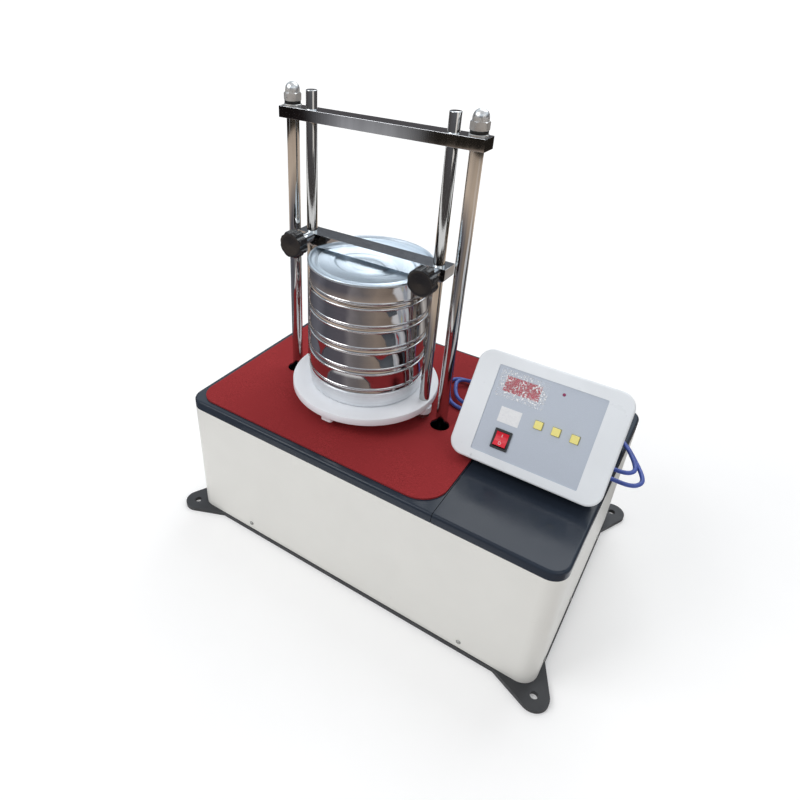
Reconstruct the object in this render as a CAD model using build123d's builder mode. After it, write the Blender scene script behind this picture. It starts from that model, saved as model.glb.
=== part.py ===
from build123d import *
import math
import os

os.makedirs("parts", exist_ok=True)

# Base, housing and covers
HOUSING_LENGTH = 700.0
HOUSING_DEPTH = 452.0
HOUSING_CORNER = 28.0
PLATE_MARGIN = 2.0
PLATE_THICK = 8.0
EAR_X = 356.0
EAR_Y = 231.0
EAR_RADIUS = 24.0
EAR_ROOT_X = 302.0
EAR_ROOT_Y = 180.0
EAR_ROOT_RADIUS = 50.0
ANCHOR_HOLE_RADIUS = 6.5
WALL = 3.0
HOUSING_TOP = 247.0
COVER_TOP = 264.0
COVER_ROUND = 5.0
SEAM_X = 150.0
SEAM_GAP = 1.0
COLUMN_HOLE_RADIUS = 17.0
CENTRE_HOLE_RADIUS = 30.0
MAT_THICK = 3.0
SKIRT_SCREW_Z = 22.0

# Sieve stack, its carriage and its two pairs of rods
STACK_X = -94.0
STACK_Y = -27.0
COLUMN_OFFSET = 158.0
COLUMN_RADIUS = 10.0
COLUMN_STUD_RADIUS = 8.0
ROD_OFFSET = 121.0
ROD_RADIUS = 9.0
ROD_STUD_RADIUS = 7.0
ROD_TOP = 782.0
RUNNING_GAP = 0.06
BAR_BOTTOM = 735.0
BAR_TOP = 752.4
BAR_LENGTH = 349.0
BAR_WIDTH = 30.0
TABLE_TOP = 306.0
TABLE_THICK = 14.0
TABLE_RADIUS = 132.6
FRAME_THICK = 12.0

# Test sieves: frame diameter 200 mm, 50 mm high, nested by their skirts
SIEVE_COUNT = 5
SIEVE_PITCH = 39.7
PAN_HEIGHT = 29.4
RING_RADIUS = 101.5
RING_WALL = 1.0
RIM_RADIUS = 103.2
RIM_INNER = 100.2
RIM_HEIGHT = 3.0
SKIRT_RADIUS = 99.7
SKIRT_WALL = 0.8
SKIRT_DEPTH = 9.0
NECK_HEIGHT = 9.0
MESH_THICK = 0.6
LID_RADIUS = 105.2
LID_TOP = 536.0

# Clamp bar that rides on the inner rods
CLAMP_BOTTOM = 536.3
CLAMP_HEIGHT = 22.0
CLAMP_WIDTH = 33.0
CLAMP_LENGTH = 280.0
KNOB_RADIUS = 20.0
KNOB_THICK = 20.0
KNOB_BACK_Y = -68.0
STUD_RADIUS = 4.0

# Shaking drive under the covers
THROW = 4.0
CRANK_OFFSET = 110.0
IDLER_OFFSET_X = -105.0
IDLER_OFFSET_Y = 75.0
CRANK_RADIUS = 15.0
CRANK_PIN_RADIUS = 12.0
IDLER_RADIUS = 12.0
IDLER_PIN_RADIUS = 10.0
CARRIAGE_BOTTOM = 196.0
CARRIAGE_THICK = 14.0
PIN_TOP = 222.0
GEARBOX_TOP = 100.0
BELT_MIDDLE = 132.0
BELT_HEIGHT = 12.0
BELT_THICK = 7.0
PULLEY_PITCH = 79.2
MOTOR_PITCH = 12.5
MOTOR_X = 236.0
MOTOR_Y = -31.0

# Tapping cam: an involute, so that its lift is even over the whole rise
CAM_AXIS_Z = 56.0
CAM_LOW_RADIUS = 22.0
CAM_LIFT = 5.0
CAM_RISE_DEG = 300.0
CAM_WIDTH = 16.0
CAM_SHAFT_RADIUS = 8.0
FOOT_GAP = 0.3
TAPPET_RADIUS = 12.0

# Control box on its bracket, tilted back towards the operator
BOX_TILT = 56.5
BOX_X = 230.0
BOX_Y = -50.5
BOX_Z = 356.5
BEZEL_WIDTH = 242.5
BEZEL_HEIGHT = 177.5
BEZEL_CORNER = 24.0
BEZEL_DEPTH = 9.0
SHELL_INSET = 12.0
SHELL_DEPTH = 32.0
PANEL_WIDTH = 169.5
PANEL_HEIGHT = 141.6
PANEL_V = -1.6
PANEL_RECESS = 1.5
PANEL_THICK = 2.0
PANEL_LAP = 4.0
DISPLAY_UV = (-39.5, 43.5)
DISPLAY_SIZE = (57.0, 25.0)
SWITCH_UV = (-43.5, -43.0)
SWITCH_SIZE = (27.5, 32.0)
ROCKER_SIZE = (20.0, 24.0)
ROCKER_TURN = 9.0
BUTTON_UVS = ((2.0, -1.3), (29.5, -1.6), (58.0, -2.0))
BUTTON_SIZE = 12.5
BOARD_DEPTH = 13.0
LAMP_UV = (21.8, 55.6)

# Mains lead
CORD_RADIUS = 3.5
LEAD_RUN = 26.0
GLAND_UV = (73.0, -30.0)

# Bracket under the control box
BRACKET_WIDTH = 120.0
BRACKET_RISE = 70.0
BRACKET_THICK = 3.0
FOOT_LENGTH = 46.0

# Worked out places
BODY_LENGTH = HOUSING_LENGTH - 2 * WALL
BODY_DEPTH = HOUSING_DEPTH - 2 * WALL
MAT_TOP = COVER_TOP + MAT_THICK
TABLE_BOTTOM = TABLE_TOP - TABLE_THICK
FRAME_BOTTOM = TABLE_BOTTOM - FRAME_THICK
CARRIAGE_TOP = CARRIAGE_BOTTOM + CARRIAGE_THICK
CRANK_X = STACK_X + CRANK_OFFSET
CRANK_Y = STACK_Y - THROW
IDLER_X = STACK_X + IDLER_OFFSET_X
ORBIT_Y = STACK_Y - THROW
FOOT_BOTTOM = CAM_AXIS_Z + CAM_LOW_RADIUS + FOOT_GAP
CLAMP_Z = CLAMP_BOTTOM + CLAMP_HEIGHT / 2
CLAMP_FRONT_Y = STACK_Y - CLAMP_WIDTH / 2
PAN_RIM = TABLE_TOP + PAN_HEIGHT
BELT_BOTTOM = BELT_MIDDLE - BELT_HEIGHT / 2
BOX_COS = math.cos(math.radians(BOX_TILT))
BOX_SIN = math.sin(math.radians(BOX_TILT))
BOX_DEEP = BEZEL_DEPTH + SHELL_DEPTH
KNEE_Z = COVER_TOP + BRACKET_THICK
KNEE_Y = BOX_Y + BOX_DEEP * BOX_SIN - (BOX_Z - BOX_DEEP * BOX_COS - KNEE_Z) / BOX_SIN * BOX_COS

box_plane = Plane(
    origin=(BOX_X, BOX_Y, BOX_Z),
    x_dir=(1, 0, 0),
    z_dir=(0, -BOX_SIN, BOX_COS),
)


def save(part, name):
    part.label = name
    export_step(part, "parts/" + name + ".step")


def both_sides(offset):
    return [(STACK_X - offset, STACK_Y), (STACK_X + offset, STACK_Y)]


# Base plate with four anchor ears
with BuildSketch(mode=Mode.PRIVATE) as ear_sketch:
    with Locations((EAR_X, EAR_Y)):
        Circle(EAR_RADIUS)
    with Locations((EAR_ROOT_X, EAR_ROOT_Y)):
        Circle(EAR_ROOT_RADIUS)
    make_hull()

with BuildPart() as base_plate:
    with BuildSketch() as plate_sketch:
        RectangleRounded(
            HOUSING_LENGTH + 2 * PLATE_MARGIN, HOUSING_DEPTH + 2 * PLATE_MARGIN, HOUSING_CORNER
        )
        add(ear_sketch.sketch)
        add(mirror(ear_sketch.sketch, about=Plane.XZ))
        add(mirror(ear_sketch.sketch, about=Plane.YZ))
        add(mirror(mirror(ear_sketch.sketch, about=Plane.XZ), about=Plane.YZ))
    extrude(amount=PLATE_THICK)
    with GridLocations(2 * EAR_X, 2 * EAR_Y, 2, 2):
        Hole(ANCHOR_HOLE_RADIUS)
save(base_plate.part, "base_plate")

# Painted sheet housing: one wrapped wall with a foot flange turned inwards
FLANGE_WIDTH = 18.0
SCREW_SHANK = 2.0
side_screws = [
    (side, y) for side in (-1, 1) for y in (-175.0, -40.0, 130.0)
]
end_screws = [(x, side) for side in (-1, 1) for x in (-215.0, 225.0)]
with BuildPart() as housing_shell:
    with BuildSketch(Plane.XY.offset(PLATE_THICK)):
        RectangleRounded(HOUSING_LENGTH, HOUSING_DEPTH, HOUSING_CORNER)
        RectangleRounded(BODY_LENGTH, BODY_DEPTH, HOUSING_CORNER - WALL, mode=Mode.SUBTRACT)
    extrude(amount=HOUSING_TOP - PLATE_THICK)
    with BuildSketch(Plane.XY.offset(PLATE_THICK)):
        RectangleRounded(BODY_LENGTH, BODY_DEPTH, HOUSING_CORNER - WALL)
        RectangleRounded(
            BODY_LENGTH - 2 * FLANGE_WIDTH, BODY_DEPTH - 2 * FLANGE_WIDTH, 10, mode=Mode.SUBTRACT
        )
    extrude(amount=WALL)
    for side, y in side_screws:
        with Locations(Location((side * HOUSING_LENGTH / 2, y, SKIRT_SCREW_Z), (0, 90, 0))):
            Cylinder(SCREW_SHANK, 4 * WALL, mode=Mode.SUBTRACT)
    for x, side in end_screws:
        with Locations(Location((x, side * HOUSING_DEPTH / 2, SKIRT_SCREW_Z), (90, 0, 0))):
            Cylinder(SCREW_SHANK, 4 * WALL, mode=Mode.SUBTRACT)
save(housing_shell.part, "housing_shell")


# Screw with its head on +Z and its shank pointing down
def pan_head_screw(head_radius, head_height, shank_radius, shank_length):
    with BuildPart(mode=Mode.PRIVATE) as screw:
        with BuildSketch(Plane.XZ):
            with BuildLine():
                Polyline(
                    (0, -shank_length), (shank_radius, -shank_length), (shank_radius, 0),
                    (head_radius, 0), (head_radius, head_height * 0.4),
                    (head_radius * 0.8, head_height * 0.85), (head_radius * 0.5, head_height),
                    (0, head_height),
                    close=True,
                )
            make_face()
        revolve(axis=Axis.Z)
    return screw.part


small_screw = pan_head_screw(4.0, 2.2, SCREW_SHANK, 2 * WALL)
screw_places = [
    Location((side * HOUSING_LENGTH / 2, y, SKIRT_SCREW_Z), (0, 90 * side, 0))
    for side, y in side_screws
] + [
    Location((x, side * HOUSING_DEPTH / 2, SKIRT_SCREW_Z), (-90 * side, 0, 0))
    for x, side in end_screws
]
# They share a node with the screws of the control box's bracket
bracket_screw = pan_head_screw(4.5, 3.0, 2.0, BRACKET_THICK + WALL)
bracket_screw_places = [
    Location((BOX_X + side * 40, KNEE_Y + FOOT_LENGTH - 14, KNEE_Z), (0, 0, 0))
    for side in (-1, 1)
] + [
    Location(
        (
            BOX_X + side * 40,
            KNEE_Y + rise * BOX_COS + BRACKET_THICK * BOX_SIN,
            KNEE_Z + rise * BOX_SIN - BRACKET_THICK * BOX_COS,
        ),
        (BOX_TILT - 180, 0, 0),
    )
    for side in (-1, 1)
    for rise in (26.0, 56.0)
]
with BuildPart() as bracket_screws:
    for place in bracket_screw_places:
        add(place * bracket_screw)
with BuildPart() as small_screws:
    for place in screw_places:
        add(place * small_screw)
    add(bracket_screws.part)
save(small_screws.part, "small_screws")


# Two gloss covers that close the housing
def cover(x_from, x_to, holes):
    middle = (x_from + x_to) / 2
    span = x_to - x_from
    with BuildPart(mode=Mode.PRIVATE) as lid_tray:
        with BuildSketch(Plane.XY.offset(HOUSING_TOP)) as outline:
            RectangleRounded(HOUSING_LENGTH, HOUSING_DEPTH, HOUSING_CORNER)
            with Locations((middle, 0)):
                Rectangle(span, HOUSING_DEPTH, mode=Mode.INTERSECT)
        extrude(amount=COVER_TOP - HOUSING_TOP)
        top_edges = lid_tray.faces().sort_by(Axis.Z)[-1].edges()
        fillet(top_edges.filter_by(lambda edge: abs(edge.center().X - SEAM_X) > SEAM_GAP), COVER_ROUND)
        with BuildSketch(Plane.XY.offset(HOUSING_TOP)):
            offset(outline.sketch, amount=-WALL)
        extrude(amount=COVER_TOP - HOUSING_TOP - WALL, mode=Mode.SUBTRACT)
        if holes:
            with Locations(*holes):
                Hole(COLUMN_HOLE_RADIUS)
            with Locations((STACK_X, ORBIT_Y)):
                Hole(CENTRE_HOLE_RADIUS)
        add(bracket_screws.part, mode=Mode.SUBTRACT)
    return lid_tray.part


column_holes = [(x, ORBIT_Y) for x, y in both_sides(COLUMN_OFFSET)]
save(cover(-HOUSING_LENGTH / 2, SEAM_X - SEAM_GAP / 2, column_holes), "cover_left")
save(cover(SEAM_X + SEAM_GAP / 2, HOUSING_LENGTH / 2, None), "cover_right")

# Red rubber mat on the left cover
MAT_LEFT = -338.0
MAT_RIGHT = 147.5
MAT_HALF_DEPTH = 214.0
MAT_CORNER = 36.0
MAT_FRONT_CORNER = 48.0
with BuildPart() as mat:
    with BuildSketch(Plane.XY.offset(COVER_TOP)) as mat_sketch:
        with Locations(((MAT_LEFT + MAT_RIGHT) / 2, 0)):
            Rectangle(MAT_RIGHT - MAT_LEFT, 2 * MAT_HALF_DEPTH)
        front_right = mat_sketch.vertices().group_by(Axis.X)[-1].sort_by(Axis.Y)[0]
        others = [corner for corner in mat_sketch.vertices() if corner != front_right]
        fillet(others, MAT_CORNER)
        front_right = mat_sketch.vertices().sort_by(Axis.Y)[0:2].sort_by(Axis.X)[-1]
        fillet(front_right, MAT_FRONT_CORNER)
    extrude(amount=MAT_THICK)
    with Locations(*column_holes):
        Hole(COLUMN_HOLE_RADIUS)
    with Locations((STACK_X, ORBIT_Y)):
        Hole(CENTRE_HOLE_RADIUS)
save(mat.part, "mat")

# Drive motor standing on the base plate
MOTOR_RADIUS = 60.0
MOTOR_TOP = 106.0
MOTOR_SHAFT_RADIUS = 5.5
MOTOR_BORE_FLOOR = 60.0
with BuildPart() as motor_body:
    with BuildSketch(Plane.XY.offset(PLATE_THICK)):
        with Locations((MOTOR_X, MOTOR_Y)):
            RectangleRounded(150, 150, 14)
    extrude(amount=9)
    with BuildSketch(Plane.XY.offset(PLATE_THICK + 9)):
        with Locations((MOTOR_X, MOTOR_Y)):
            Circle(MOTOR_RADIUS - 5)
            with PolarLocations(MOTOR_RADIUS - 4, 20):
                Rectangle(12, 4)
    extrude(amount=74)
    with BuildSketch(Plane.XY.offset(PLATE_THICK + 83)):
        with Locations((MOTOR_X, MOTOR_Y)):
            Circle(MOTOR_RADIUS)
    extrude(amount=MOTOR_TOP - PLATE_THICK - 83, taper=20)
    with Locations((MOTOR_X, MOTOR_Y, (MOTOR_BORE_FLOOR + MOTOR_TOP) / 2)):
        Cylinder(
            MOTOR_SHAFT_RADIUS + RUNNING_GAP, MOTOR_TOP - MOTOR_BORE_FLOOR, mode=Mode.SUBTRACT
        )
save(motor_body.part, "motor_body")


# Grooved pulley with a web and hub, standing on its own axis
def pulley(x, y, pitch, bore, lighten):
    floor = pitch - BELT_THICK / 2 - 0.3
    rim = pitch + BELT_THICK / 2 + 1
    half = BELT_HEIGHT / 2 + 0.6
    with BuildPart(mode=Mode.PRIVATE) as wheel:
        with BuildSketch(Plane.XZ):
            with BuildLine():
                Polyline(
                    (bore, -half - 4), (rim, -half - 4), (rim, -half), (floor, -half),
                    (floor, half), (rim, half), (rim, half + 4), (bore, half + 4),
                    close=True,
                )
            make_face()
        revolve(axis=Axis.Z)
        if lighten:
            with PolarLocations((floor + bore) / 2, 6):
                Hole(lighten)
    return Pos(x, y, BELT_MIDDLE) * wheel.part


SPINDLE_TOP = 150.0
with BuildPart() as motor_spindle:
    add(pulley(MOTOR_X, MOTOR_Y, MOTOR_PITCH, MOTOR_SHAFT_RADIUS, None))
    with BuildSketch(Plane.XY.offset(MOTOR_BORE_FLOOR + 0.5)):
        with Locations((MOTOR_X, MOTOR_Y)):
            Circle(MOTOR_SHAFT_RADIUS)
    extrude(amount=SPINDLE_TOP - MOTOR_BORE_FLOOR - 0.5)
save(motor_spindle.part, "motor_spindle")
save(pulley(CRANK_X, CRANK_Y, PULLEY_PITCH, CRANK_RADIUS, 18.0), "crank_pulley")


# Drive belt around both pulleys
def belt_loop(grow):
    with BuildSketch(Plane.XY.offset(BELT_BOTTOM), mode=Mode.PRIVATE) as loop:
        with Locations((CRANK_X, CRANK_Y)):
            Circle(PULLEY_PITCH + grow)
        with Locations((MOTOR_X, MOTOR_Y)):
            Circle(MOTOR_PITCH + grow)
        make_hull()
    return loop.sketch


with BuildPart() as drive_belt:
    add(extrude(belt_loop(BELT_THICK / 2), BELT_HEIGHT))
    add(extrude(belt_loop(-BELT_THICK / 2), BELT_HEIGHT), mode=Mode.SUBTRACT)
save(drive_belt.part, "drive_belt")

# Right-angle gearbox that carries the main crank and the cam shaft
GEARBOX_HALF = 52.0
CRANK_FOOT = 40.0
CAM_SHAFT_END = 26.0
with BuildPart() as gearbox:
    with BuildSketch(Plane.XY.offset(PLATE_THICK)):
        with Locations((CRANK_X, CRANK_Y)):
            RectangleRounded(2 * GEARBOX_HALF + 30, 2 * GEARBOX_HALF, 10)
    extrude(amount=10)
    with BuildSketch(Plane.XY.offset(PLATE_THICK + 10)):
        with Locations((CRANK_X, CRANK_Y)):
            RectangleRounded(2 * GEARBOX_HALF, 2 * GEARBOX_HALF - 10, 12)
    extrude(amount=GEARBOX_TOP - PLATE_THICK - 10)
    fillet(gearbox.faces().sort_by(Axis.Z)[-1].edges(), 6)
    with BuildSketch(Plane.XY.offset(GEARBOX_TOP)):
        with Locations((CRANK_X, CRANK_Y)):
            Circle(30)
    extrude(amount=12)
    with Locations((CRANK_X, CRANK_Y, (CRANK_FOOT + GEARBOX_TOP + 12) / 2)):
        Cylinder(CRANK_RADIUS + RUNNING_GAP, GEARBOX_TOP + 12 - CRANK_FOOT, mode=Mode.SUBTRACT)
    with BuildSketch(Plane.YZ.offset(CRANK_X - GEARBOX_HALF)):
        with Locations((STACK_Y, CAM_AXIS_Z)):
            Circle(20)
    extrude(amount=-8)
    with BuildSketch(Plane.YZ.offset(CRANK_X - GEARBOX_HALF - 8)):
        with Locations((STACK_Y, CAM_AXIS_Z)):
            Circle(CAM_SHAFT_RADIUS + RUNNING_GAP)
    extrude(amount=8 + CAM_SHAFT_END, mode=Mode.SUBTRACT)
save(gearbox.part, "gearbox")


# Crank: shaft, disc and a pin set off by the throw along +Y
def crank(x, y, shaft_radius, shaft_foot, disc_radius, disc_bottom, pin_radius):
    disc_top = 166.0
    with BuildPart(mode=Mode.PRIVATE) as piece:
        with BuildSketch(Plane.XY.offset(shaft_foot)):
            with Locations((x, y)):
                Circle(shaft_radius)
        extrude(amount=disc_bottom - shaft_foot)
        with BuildSketch(Plane.XY.offset(disc_bottom)):
            with Locations((x, y)):
                Circle(disc_radius)
            with Locations((x, y + disc_radius)):
                Rectangle(disc_radius, disc_radius * 0.8, mode=Mode.SUBTRACT)
            with Locations((x, y + THROW)):
                Circle(pin_radius + 5)
        extrude(amount=disc_top - disc_bottom)
        with BuildSketch(Plane.XY.offset(disc_top)):
            with Locations((x, y + THROW)):
                Circle(pin_radius)
        extrude(amount=PIN_TOP - disc_top)
        chamfer(piece.faces().sort_by(Axis.Z)[-1].edges(), 1)
    return piece.part


crank_part = crank(CRANK_X, CRANK_Y, CRANK_RADIUS, CRANK_FOOT + 0.5, 42.0, 150.0, CRANK_PIN_RADIUS)
save(crank_part, "crank_shaft")
idler_places = {
    "front": (IDLER_X, ORBIT_Y - IDLER_OFFSET_Y),
    "rear": (IDLER_X, ORBIT_Y + IDLER_OFFSET_Y),
}
IDLER_FOOT = 60.0
POST_TOP = 148.0
for side, (x, y) in idler_places.items():
    idler = crank(x, y, IDLER_RADIUS, IDLER_FOOT + 0.5, 30.0, 152.0, IDLER_PIN_RADIUS)
    save(idler, "idler_crank_" + side)

# Bearing posts of the two idler cranks, and the pedestal of the cam shaft
PEDESTAL_X = STACK_X - 48.0
with BuildPart() as bearing_posts:
    for x, y in idler_places.values():
        with BuildSketch(Plane.XY.offset(PLATE_THICK)):
            with Locations((x, y)):
                Circle(44)
        extrude(amount=10)
        with BuildSketch(Plane.XY.offset(PLATE_THICK + 10)):
            with Locations((x, y)):
                Circle(30)
        extrude(amount=POST_TOP - PLATE_THICK - 10, taper=3)
        with Locations((x, y, (IDLER_FOOT + POST_TOP) / 2)):
            Cylinder(IDLER_RADIUS + RUNNING_GAP, POST_TOP - IDLER_FOOT, mode=Mode.SUBTRACT)
    with BuildSketch(Plane.YZ.offset(PEDESTAL_X - 9)):
        with BuildLine():
            Polyline(
                (STACK_Y - 46, PLATE_THICK), (STACK_Y + 46, PLATE_THICK),
                (STACK_Y + 46, PLATE_THICK + 10), (STACK_Y + 20, PLATE_THICK + 16),
                (STACK_Y + 20, CAM_AXIS_Z), (STACK_Y - 20, CAM_AXIS_Z),
                (STACK_Y - 20, PLATE_THICK + 16), (STACK_Y - 46, PLATE_THICK + 10),
                close=True,
            )
        make_face()
        with Locations((STACK_Y, CAM_AXIS_Z)):
            Circle(20)
            Circle(CAM_SHAFT_RADIUS + RUNNING_GAP, mode=Mode.SUBTRACT)
    extrude(amount=18)
save(bearing_posts.part, "bearing_posts")

# Carriage plate that the cranks swing round
BUSH_RADIUS = 18.0
GUIDE_RADIUS = 28.0
bush_places = [
    (CRANK_X, STACK_Y, CRANK_PIN_RADIUS),
    (IDLER_X, STACK_Y - IDLER_OFFSET_Y, IDLER_PIN_RADIUS),
    (IDLER_X, STACK_Y + IDLER_OFFSET_Y, IDLER_PIN_RADIUS),
]
with BuildPart() as carriage_plate:
    with BuildSketch(Plane.XY.offset(CARRIAGE_BOTTOM)) as carriage_sketch:
        with Locations((STACK_X, STACK_Y)):
            RectangleRounded(2 * COLUMN_OFFSET + 40, 80, 20)
        with Locations((IDLER_X, STACK_Y)):
            RectangleRounded(72, 2 * IDLER_OFFSET_Y + 64, 24)
        inner = carriage_sketch.vertices().filter_by(
            lambda v: abs(abs(v.Y - STACK_Y) - 40) < 0.1 and abs(abs(v.X - IDLER_X) - 36) < 0.1
        )
        fillet(inner, 12)
        with Locations(*[(x, y) for x, y, pin in bush_places]):
            Circle(BUSH_RADIUS, mode=Mode.SUBTRACT)
        with Locations((STACK_X, STACK_Y)):
            Circle(GUIDE_RADIUS, mode=Mode.SUBTRACT)
        with Locations(*both_sides(COLUMN_OFFSET)):
            Circle(COLUMN_STUD_RADIUS, mode=Mode.SUBTRACT)
    extrude(amount=CARRIAGE_THICK)
save(carriage_plate.part, "carriage_plate")


# Flanged sleeve: a bore, a body that drops through a hole and a flange on top
def flanged_sleeve(x, y, bore, body, bottom, seat, flange, flange_thick, top):
    with BuildPart(mode=Mode.PRIVATE) as sleeve:
        with BuildSketch(Plane.XZ):
            with BuildLine():
                Polyline(
                    (bore, bottom), (body, bottom), (body, seat), (flange, seat),
                    (flange, seat + flange_thick), (body, seat + flange_thick), (body, top),
                    (bore, top),
                    close=True,
                )
            make_face()
        revolve(axis=Axis.Z)
    return Pos(x, y, 0) * sleeve.part


with BuildPart() as crank_bushes:
    for x, y, pin in bush_places:
        add(
            flanged_sleeve(
                x, y, pin + RUNNING_GAP, BUSH_RADIUS, CARRIAGE_BOTTOM - 6, CARRIAGE_TOP,
                BUSH_RADIUS + 4, 4, CARRIAGE_TOP + 8,
            )
        )
save(crank_bushes.part, "crank_bushes")
GUIDE_TOP = 252.0
guide = flanged_sleeve(
    STACK_X, STACK_Y, TAPPET_RADIUS + RUNNING_GAP, GUIDE_RADIUS, 168.0, CARRIAGE_TOP, 44.0, 10.0,
    GUIDE_TOP,
)
save(guide, "tappet_guide")


# Chromed outer columns with a threaded stud at each end
def column(x):
    with BuildPart(mode=Mode.PRIVATE) as bar:
        with BuildSketch(Plane.XZ):
            with BuildLine():
                Polyline(
                    (0, CARRIAGE_BOTTOM - 18), (COLUMN_STUD_RADIUS, CARRIAGE_BOTTOM - 18),
                    (COLUMN_STUD_RADIUS, CARRIAGE_TOP), (COLUMN_RADIUS, CARRIAGE_TOP),
                    (COLUMN_RADIUS, BAR_BOTTOM), (COLUMN_STUD_RADIUS, BAR_BOTTOM),
                    (COLUMN_STUD_RADIUS, BAR_TOP + 14), (0, BAR_TOP + 14),
                    close=True,
                )
            make_face()
        revolve(axis=Axis.Z)
    return Pos(x, STACK_Y, 0) * bar.part


with BuildPart() as outer_columns:
    add(column(STACK_X - COLUMN_OFFSET))
    add(column(STACK_X + COLUMN_OFFSET))
save(outer_columns.part, "outer_columns")


# Hexagon nut with a through hole, bottom face at the given height
def nut(x, y, z, flat_radius, height, bore):
    with BuildPart(mode=Mode.PRIVATE) as hex_nut:
        with BuildSketch(Plane.XY.offset(z)):
            with Locations((x, y)):
                RegularPolygon(flat_radius, 6, major_radius=False)
                Circle(bore, mode=Mode.SUBTRACT)
        extrude(amount=height)
    return hex_nut.part


with BuildPart() as column_nuts:
    for x, y in both_sides(COLUMN_OFFSET):
        add(nut(x, y, CARRIAGE_BOTTOM - 13, 13.0, 13.0, COLUMN_STUD_RADIUS))
save(column_nuts.part, "column_nuts")

# Top crossbar: fixed on the columns, bored for the inner rods
with BuildPart() as top_bar:
    with BuildSketch(Plane.XY.offset(BAR_BOTTOM)):
        with Locations((STACK_X, STACK_Y)):
            Rectangle(BAR_LENGTH, BAR_WIDTH)
        with Locations(*both_sides(COLUMN_OFFSET)):
            Circle(COLUMN_STUD_RADIUS, mode=Mode.SUBTRACT)
        with Locations(*both_sides(ROD_OFFSET)):
            Circle(ROD_RADIUS + RUNNING_GAP, mode=Mode.SUBTRACT)
    extrude(amount=BAR_TOP - BAR_BOTTOM)
    ends = top_bar.edges().filter_by(Axis.Z).filter_by(
        lambda edge: abs(abs(edge.center().X - STACK_X) - BAR_LENGTH / 2) < 0.1
    )
    chamfer(ends, 1.2)
save(top_bar.part, "top_bar")

WASHER_THICK = 3.0

# Domed cap nuts with their washers on the columns
CAP_FLATS = 12.0
CAP_HEX = 12.0
CAP_DOME = 11.5
CAP_BASE = BAR_TOP + WASHER_THICK
cap_hex_top = CAP_BASE + CAP_HEX
dome_foot = cap_hex_top + 4
tip = CAP_DOME * math.cos(math.radians(84))
dome_top = dome_foot + CAP_DOME * math.sin(math.radians(84))
with BuildPart() as cap_nuts:
    for x, y in both_sides(COLUMN_OFFSET):
        with BuildSketch(Plane.XY.offset(BAR_TOP)):
            with Locations((x, y)):
                Circle(14)
        extrude(amount=WASHER_THICK)
        with BuildSketch(Plane.XY.offset(CAP_BASE)):
            with Locations((x, y)):
                RegularPolygon(CAP_FLATS, 6, major_radius=False)
        extrude(amount=CAP_HEX)
        with BuildSketch(Plane.XZ.offset(-y)):
            with BuildLine():
                Polyline((x, cap_hex_top), (x + CAP_DOME, cap_hex_top), (x + CAP_DOME, dome_foot))
                CenterArc((x, dome_foot), CAP_DOME, 0, 84)
                Polyline((x + tip, dome_top), (x, dome_top), (x, cap_hex_top))
            make_face()
        revolve(axis=Axis((x, y, 0), (0, 0, 1)))
        with Locations((x, y, BAR_TOP + 7)):
            Cylinder(COLUMN_STUD_RADIUS, 14, mode=Mode.SUBTRACT)
save(cap_nuts.part, "cap_nuts")

# Round sieve table, its cross frame and the tappet shaft
FRONT_ARM = 134.0
table_bolt = pan_head_screw(6.0, 5.0, 4.0, 10.0)
bolt_place = Pos(STACK_X - 19, STACK_Y - FRONT_ARM + 14, TABLE_BOTTOM) * Rot(180, 0, 0)
with BuildPart() as table_plate:
    with BuildSketch(Plane.XY.offset(TABLE_BOTTOM)):
        with Locations((STACK_X, STACK_Y)):
            Circle(TABLE_RADIUS)
        with Locations(*both_sides(ROD_OFFSET)):
            Circle(ROD_STUD_RADIUS, mode=Mode.SUBTRACT)
    extrude(amount=TABLE_THICK)
    rims = table_plate.edges().filter_by(GeomType.CIRCLE).filter_by(
        lambda edge: edge.radius > TABLE_RADIUS - 1
    )
    chamfer(rims, 1.5)
    add(bolt_place * table_bolt, mode=Mode.SUBTRACT)
save(table_plate.part, "table_plate")

with BuildPart() as table_frame:
    with BuildSketch(Plane.XY.offset(FRAME_BOTTOM)):
        with Locations((STACK_X, STACK_Y)):
            RectangleRounded(2 * ROD_OFFSET + 28, 28, 13)
            Circle(42)
        with Locations((STACK_X, STACK_Y - FRONT_ARM / 2 + 6)):
            RectangleRounded(22, FRONT_ARM - 4, 5)
        with Locations(*both_sides(ROD_OFFSET)):
            Circle(ROD_STUD_RADIUS, mode=Mode.SUBTRACT)
    extrude(amount=FRAME_THICK)
save(table_frame.part, "table_frame")


# Inner rod: stands on the table, stud below through plate and frame
def inner_rod(x):
    with BuildPart(mode=Mode.PRIVATE) as rod:
        with BuildSketch(Plane.XZ):
            with BuildLine():
                Polyline(
                    (0, FRAME_BOTTOM - 8), (ROD_STUD_RADIUS, FRAME_BOTTOM - 8),
                    (ROD_STUD_RADIUS, TABLE_TOP), (ROD_RADIUS, TABLE_TOP),
                    (ROD_RADIUS, ROD_TOP - 1), (ROD_RADIUS - 1, ROD_TOP), (0, ROD_TOP),
                    close=True,
                )
            make_face()
        revolve(axis=Axis.Z)
    return Pos(x, STACK_Y, 0) * rod.part


with BuildPart() as inner_rods:
    add(inner_rod(STACK_X - ROD_OFFSET))
    add(inner_rod(STACK_X + ROD_OFFSET))
save(inner_rods.part, "inner_rods")

# Fasteners of the table: the rods' nuts and a bolt beside the frame's front arm
with BuildPart() as table_fasteners:
    for x, y in both_sides(ROD_OFFSET):
        add(nut(x, y, FRAME_BOTTOM - 8, 11.0, 8.0, ROD_STUD_RADIUS))
    add(bolt_place * table_bolt)
save(table_fasteners.part, "table_fasteners")

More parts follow.
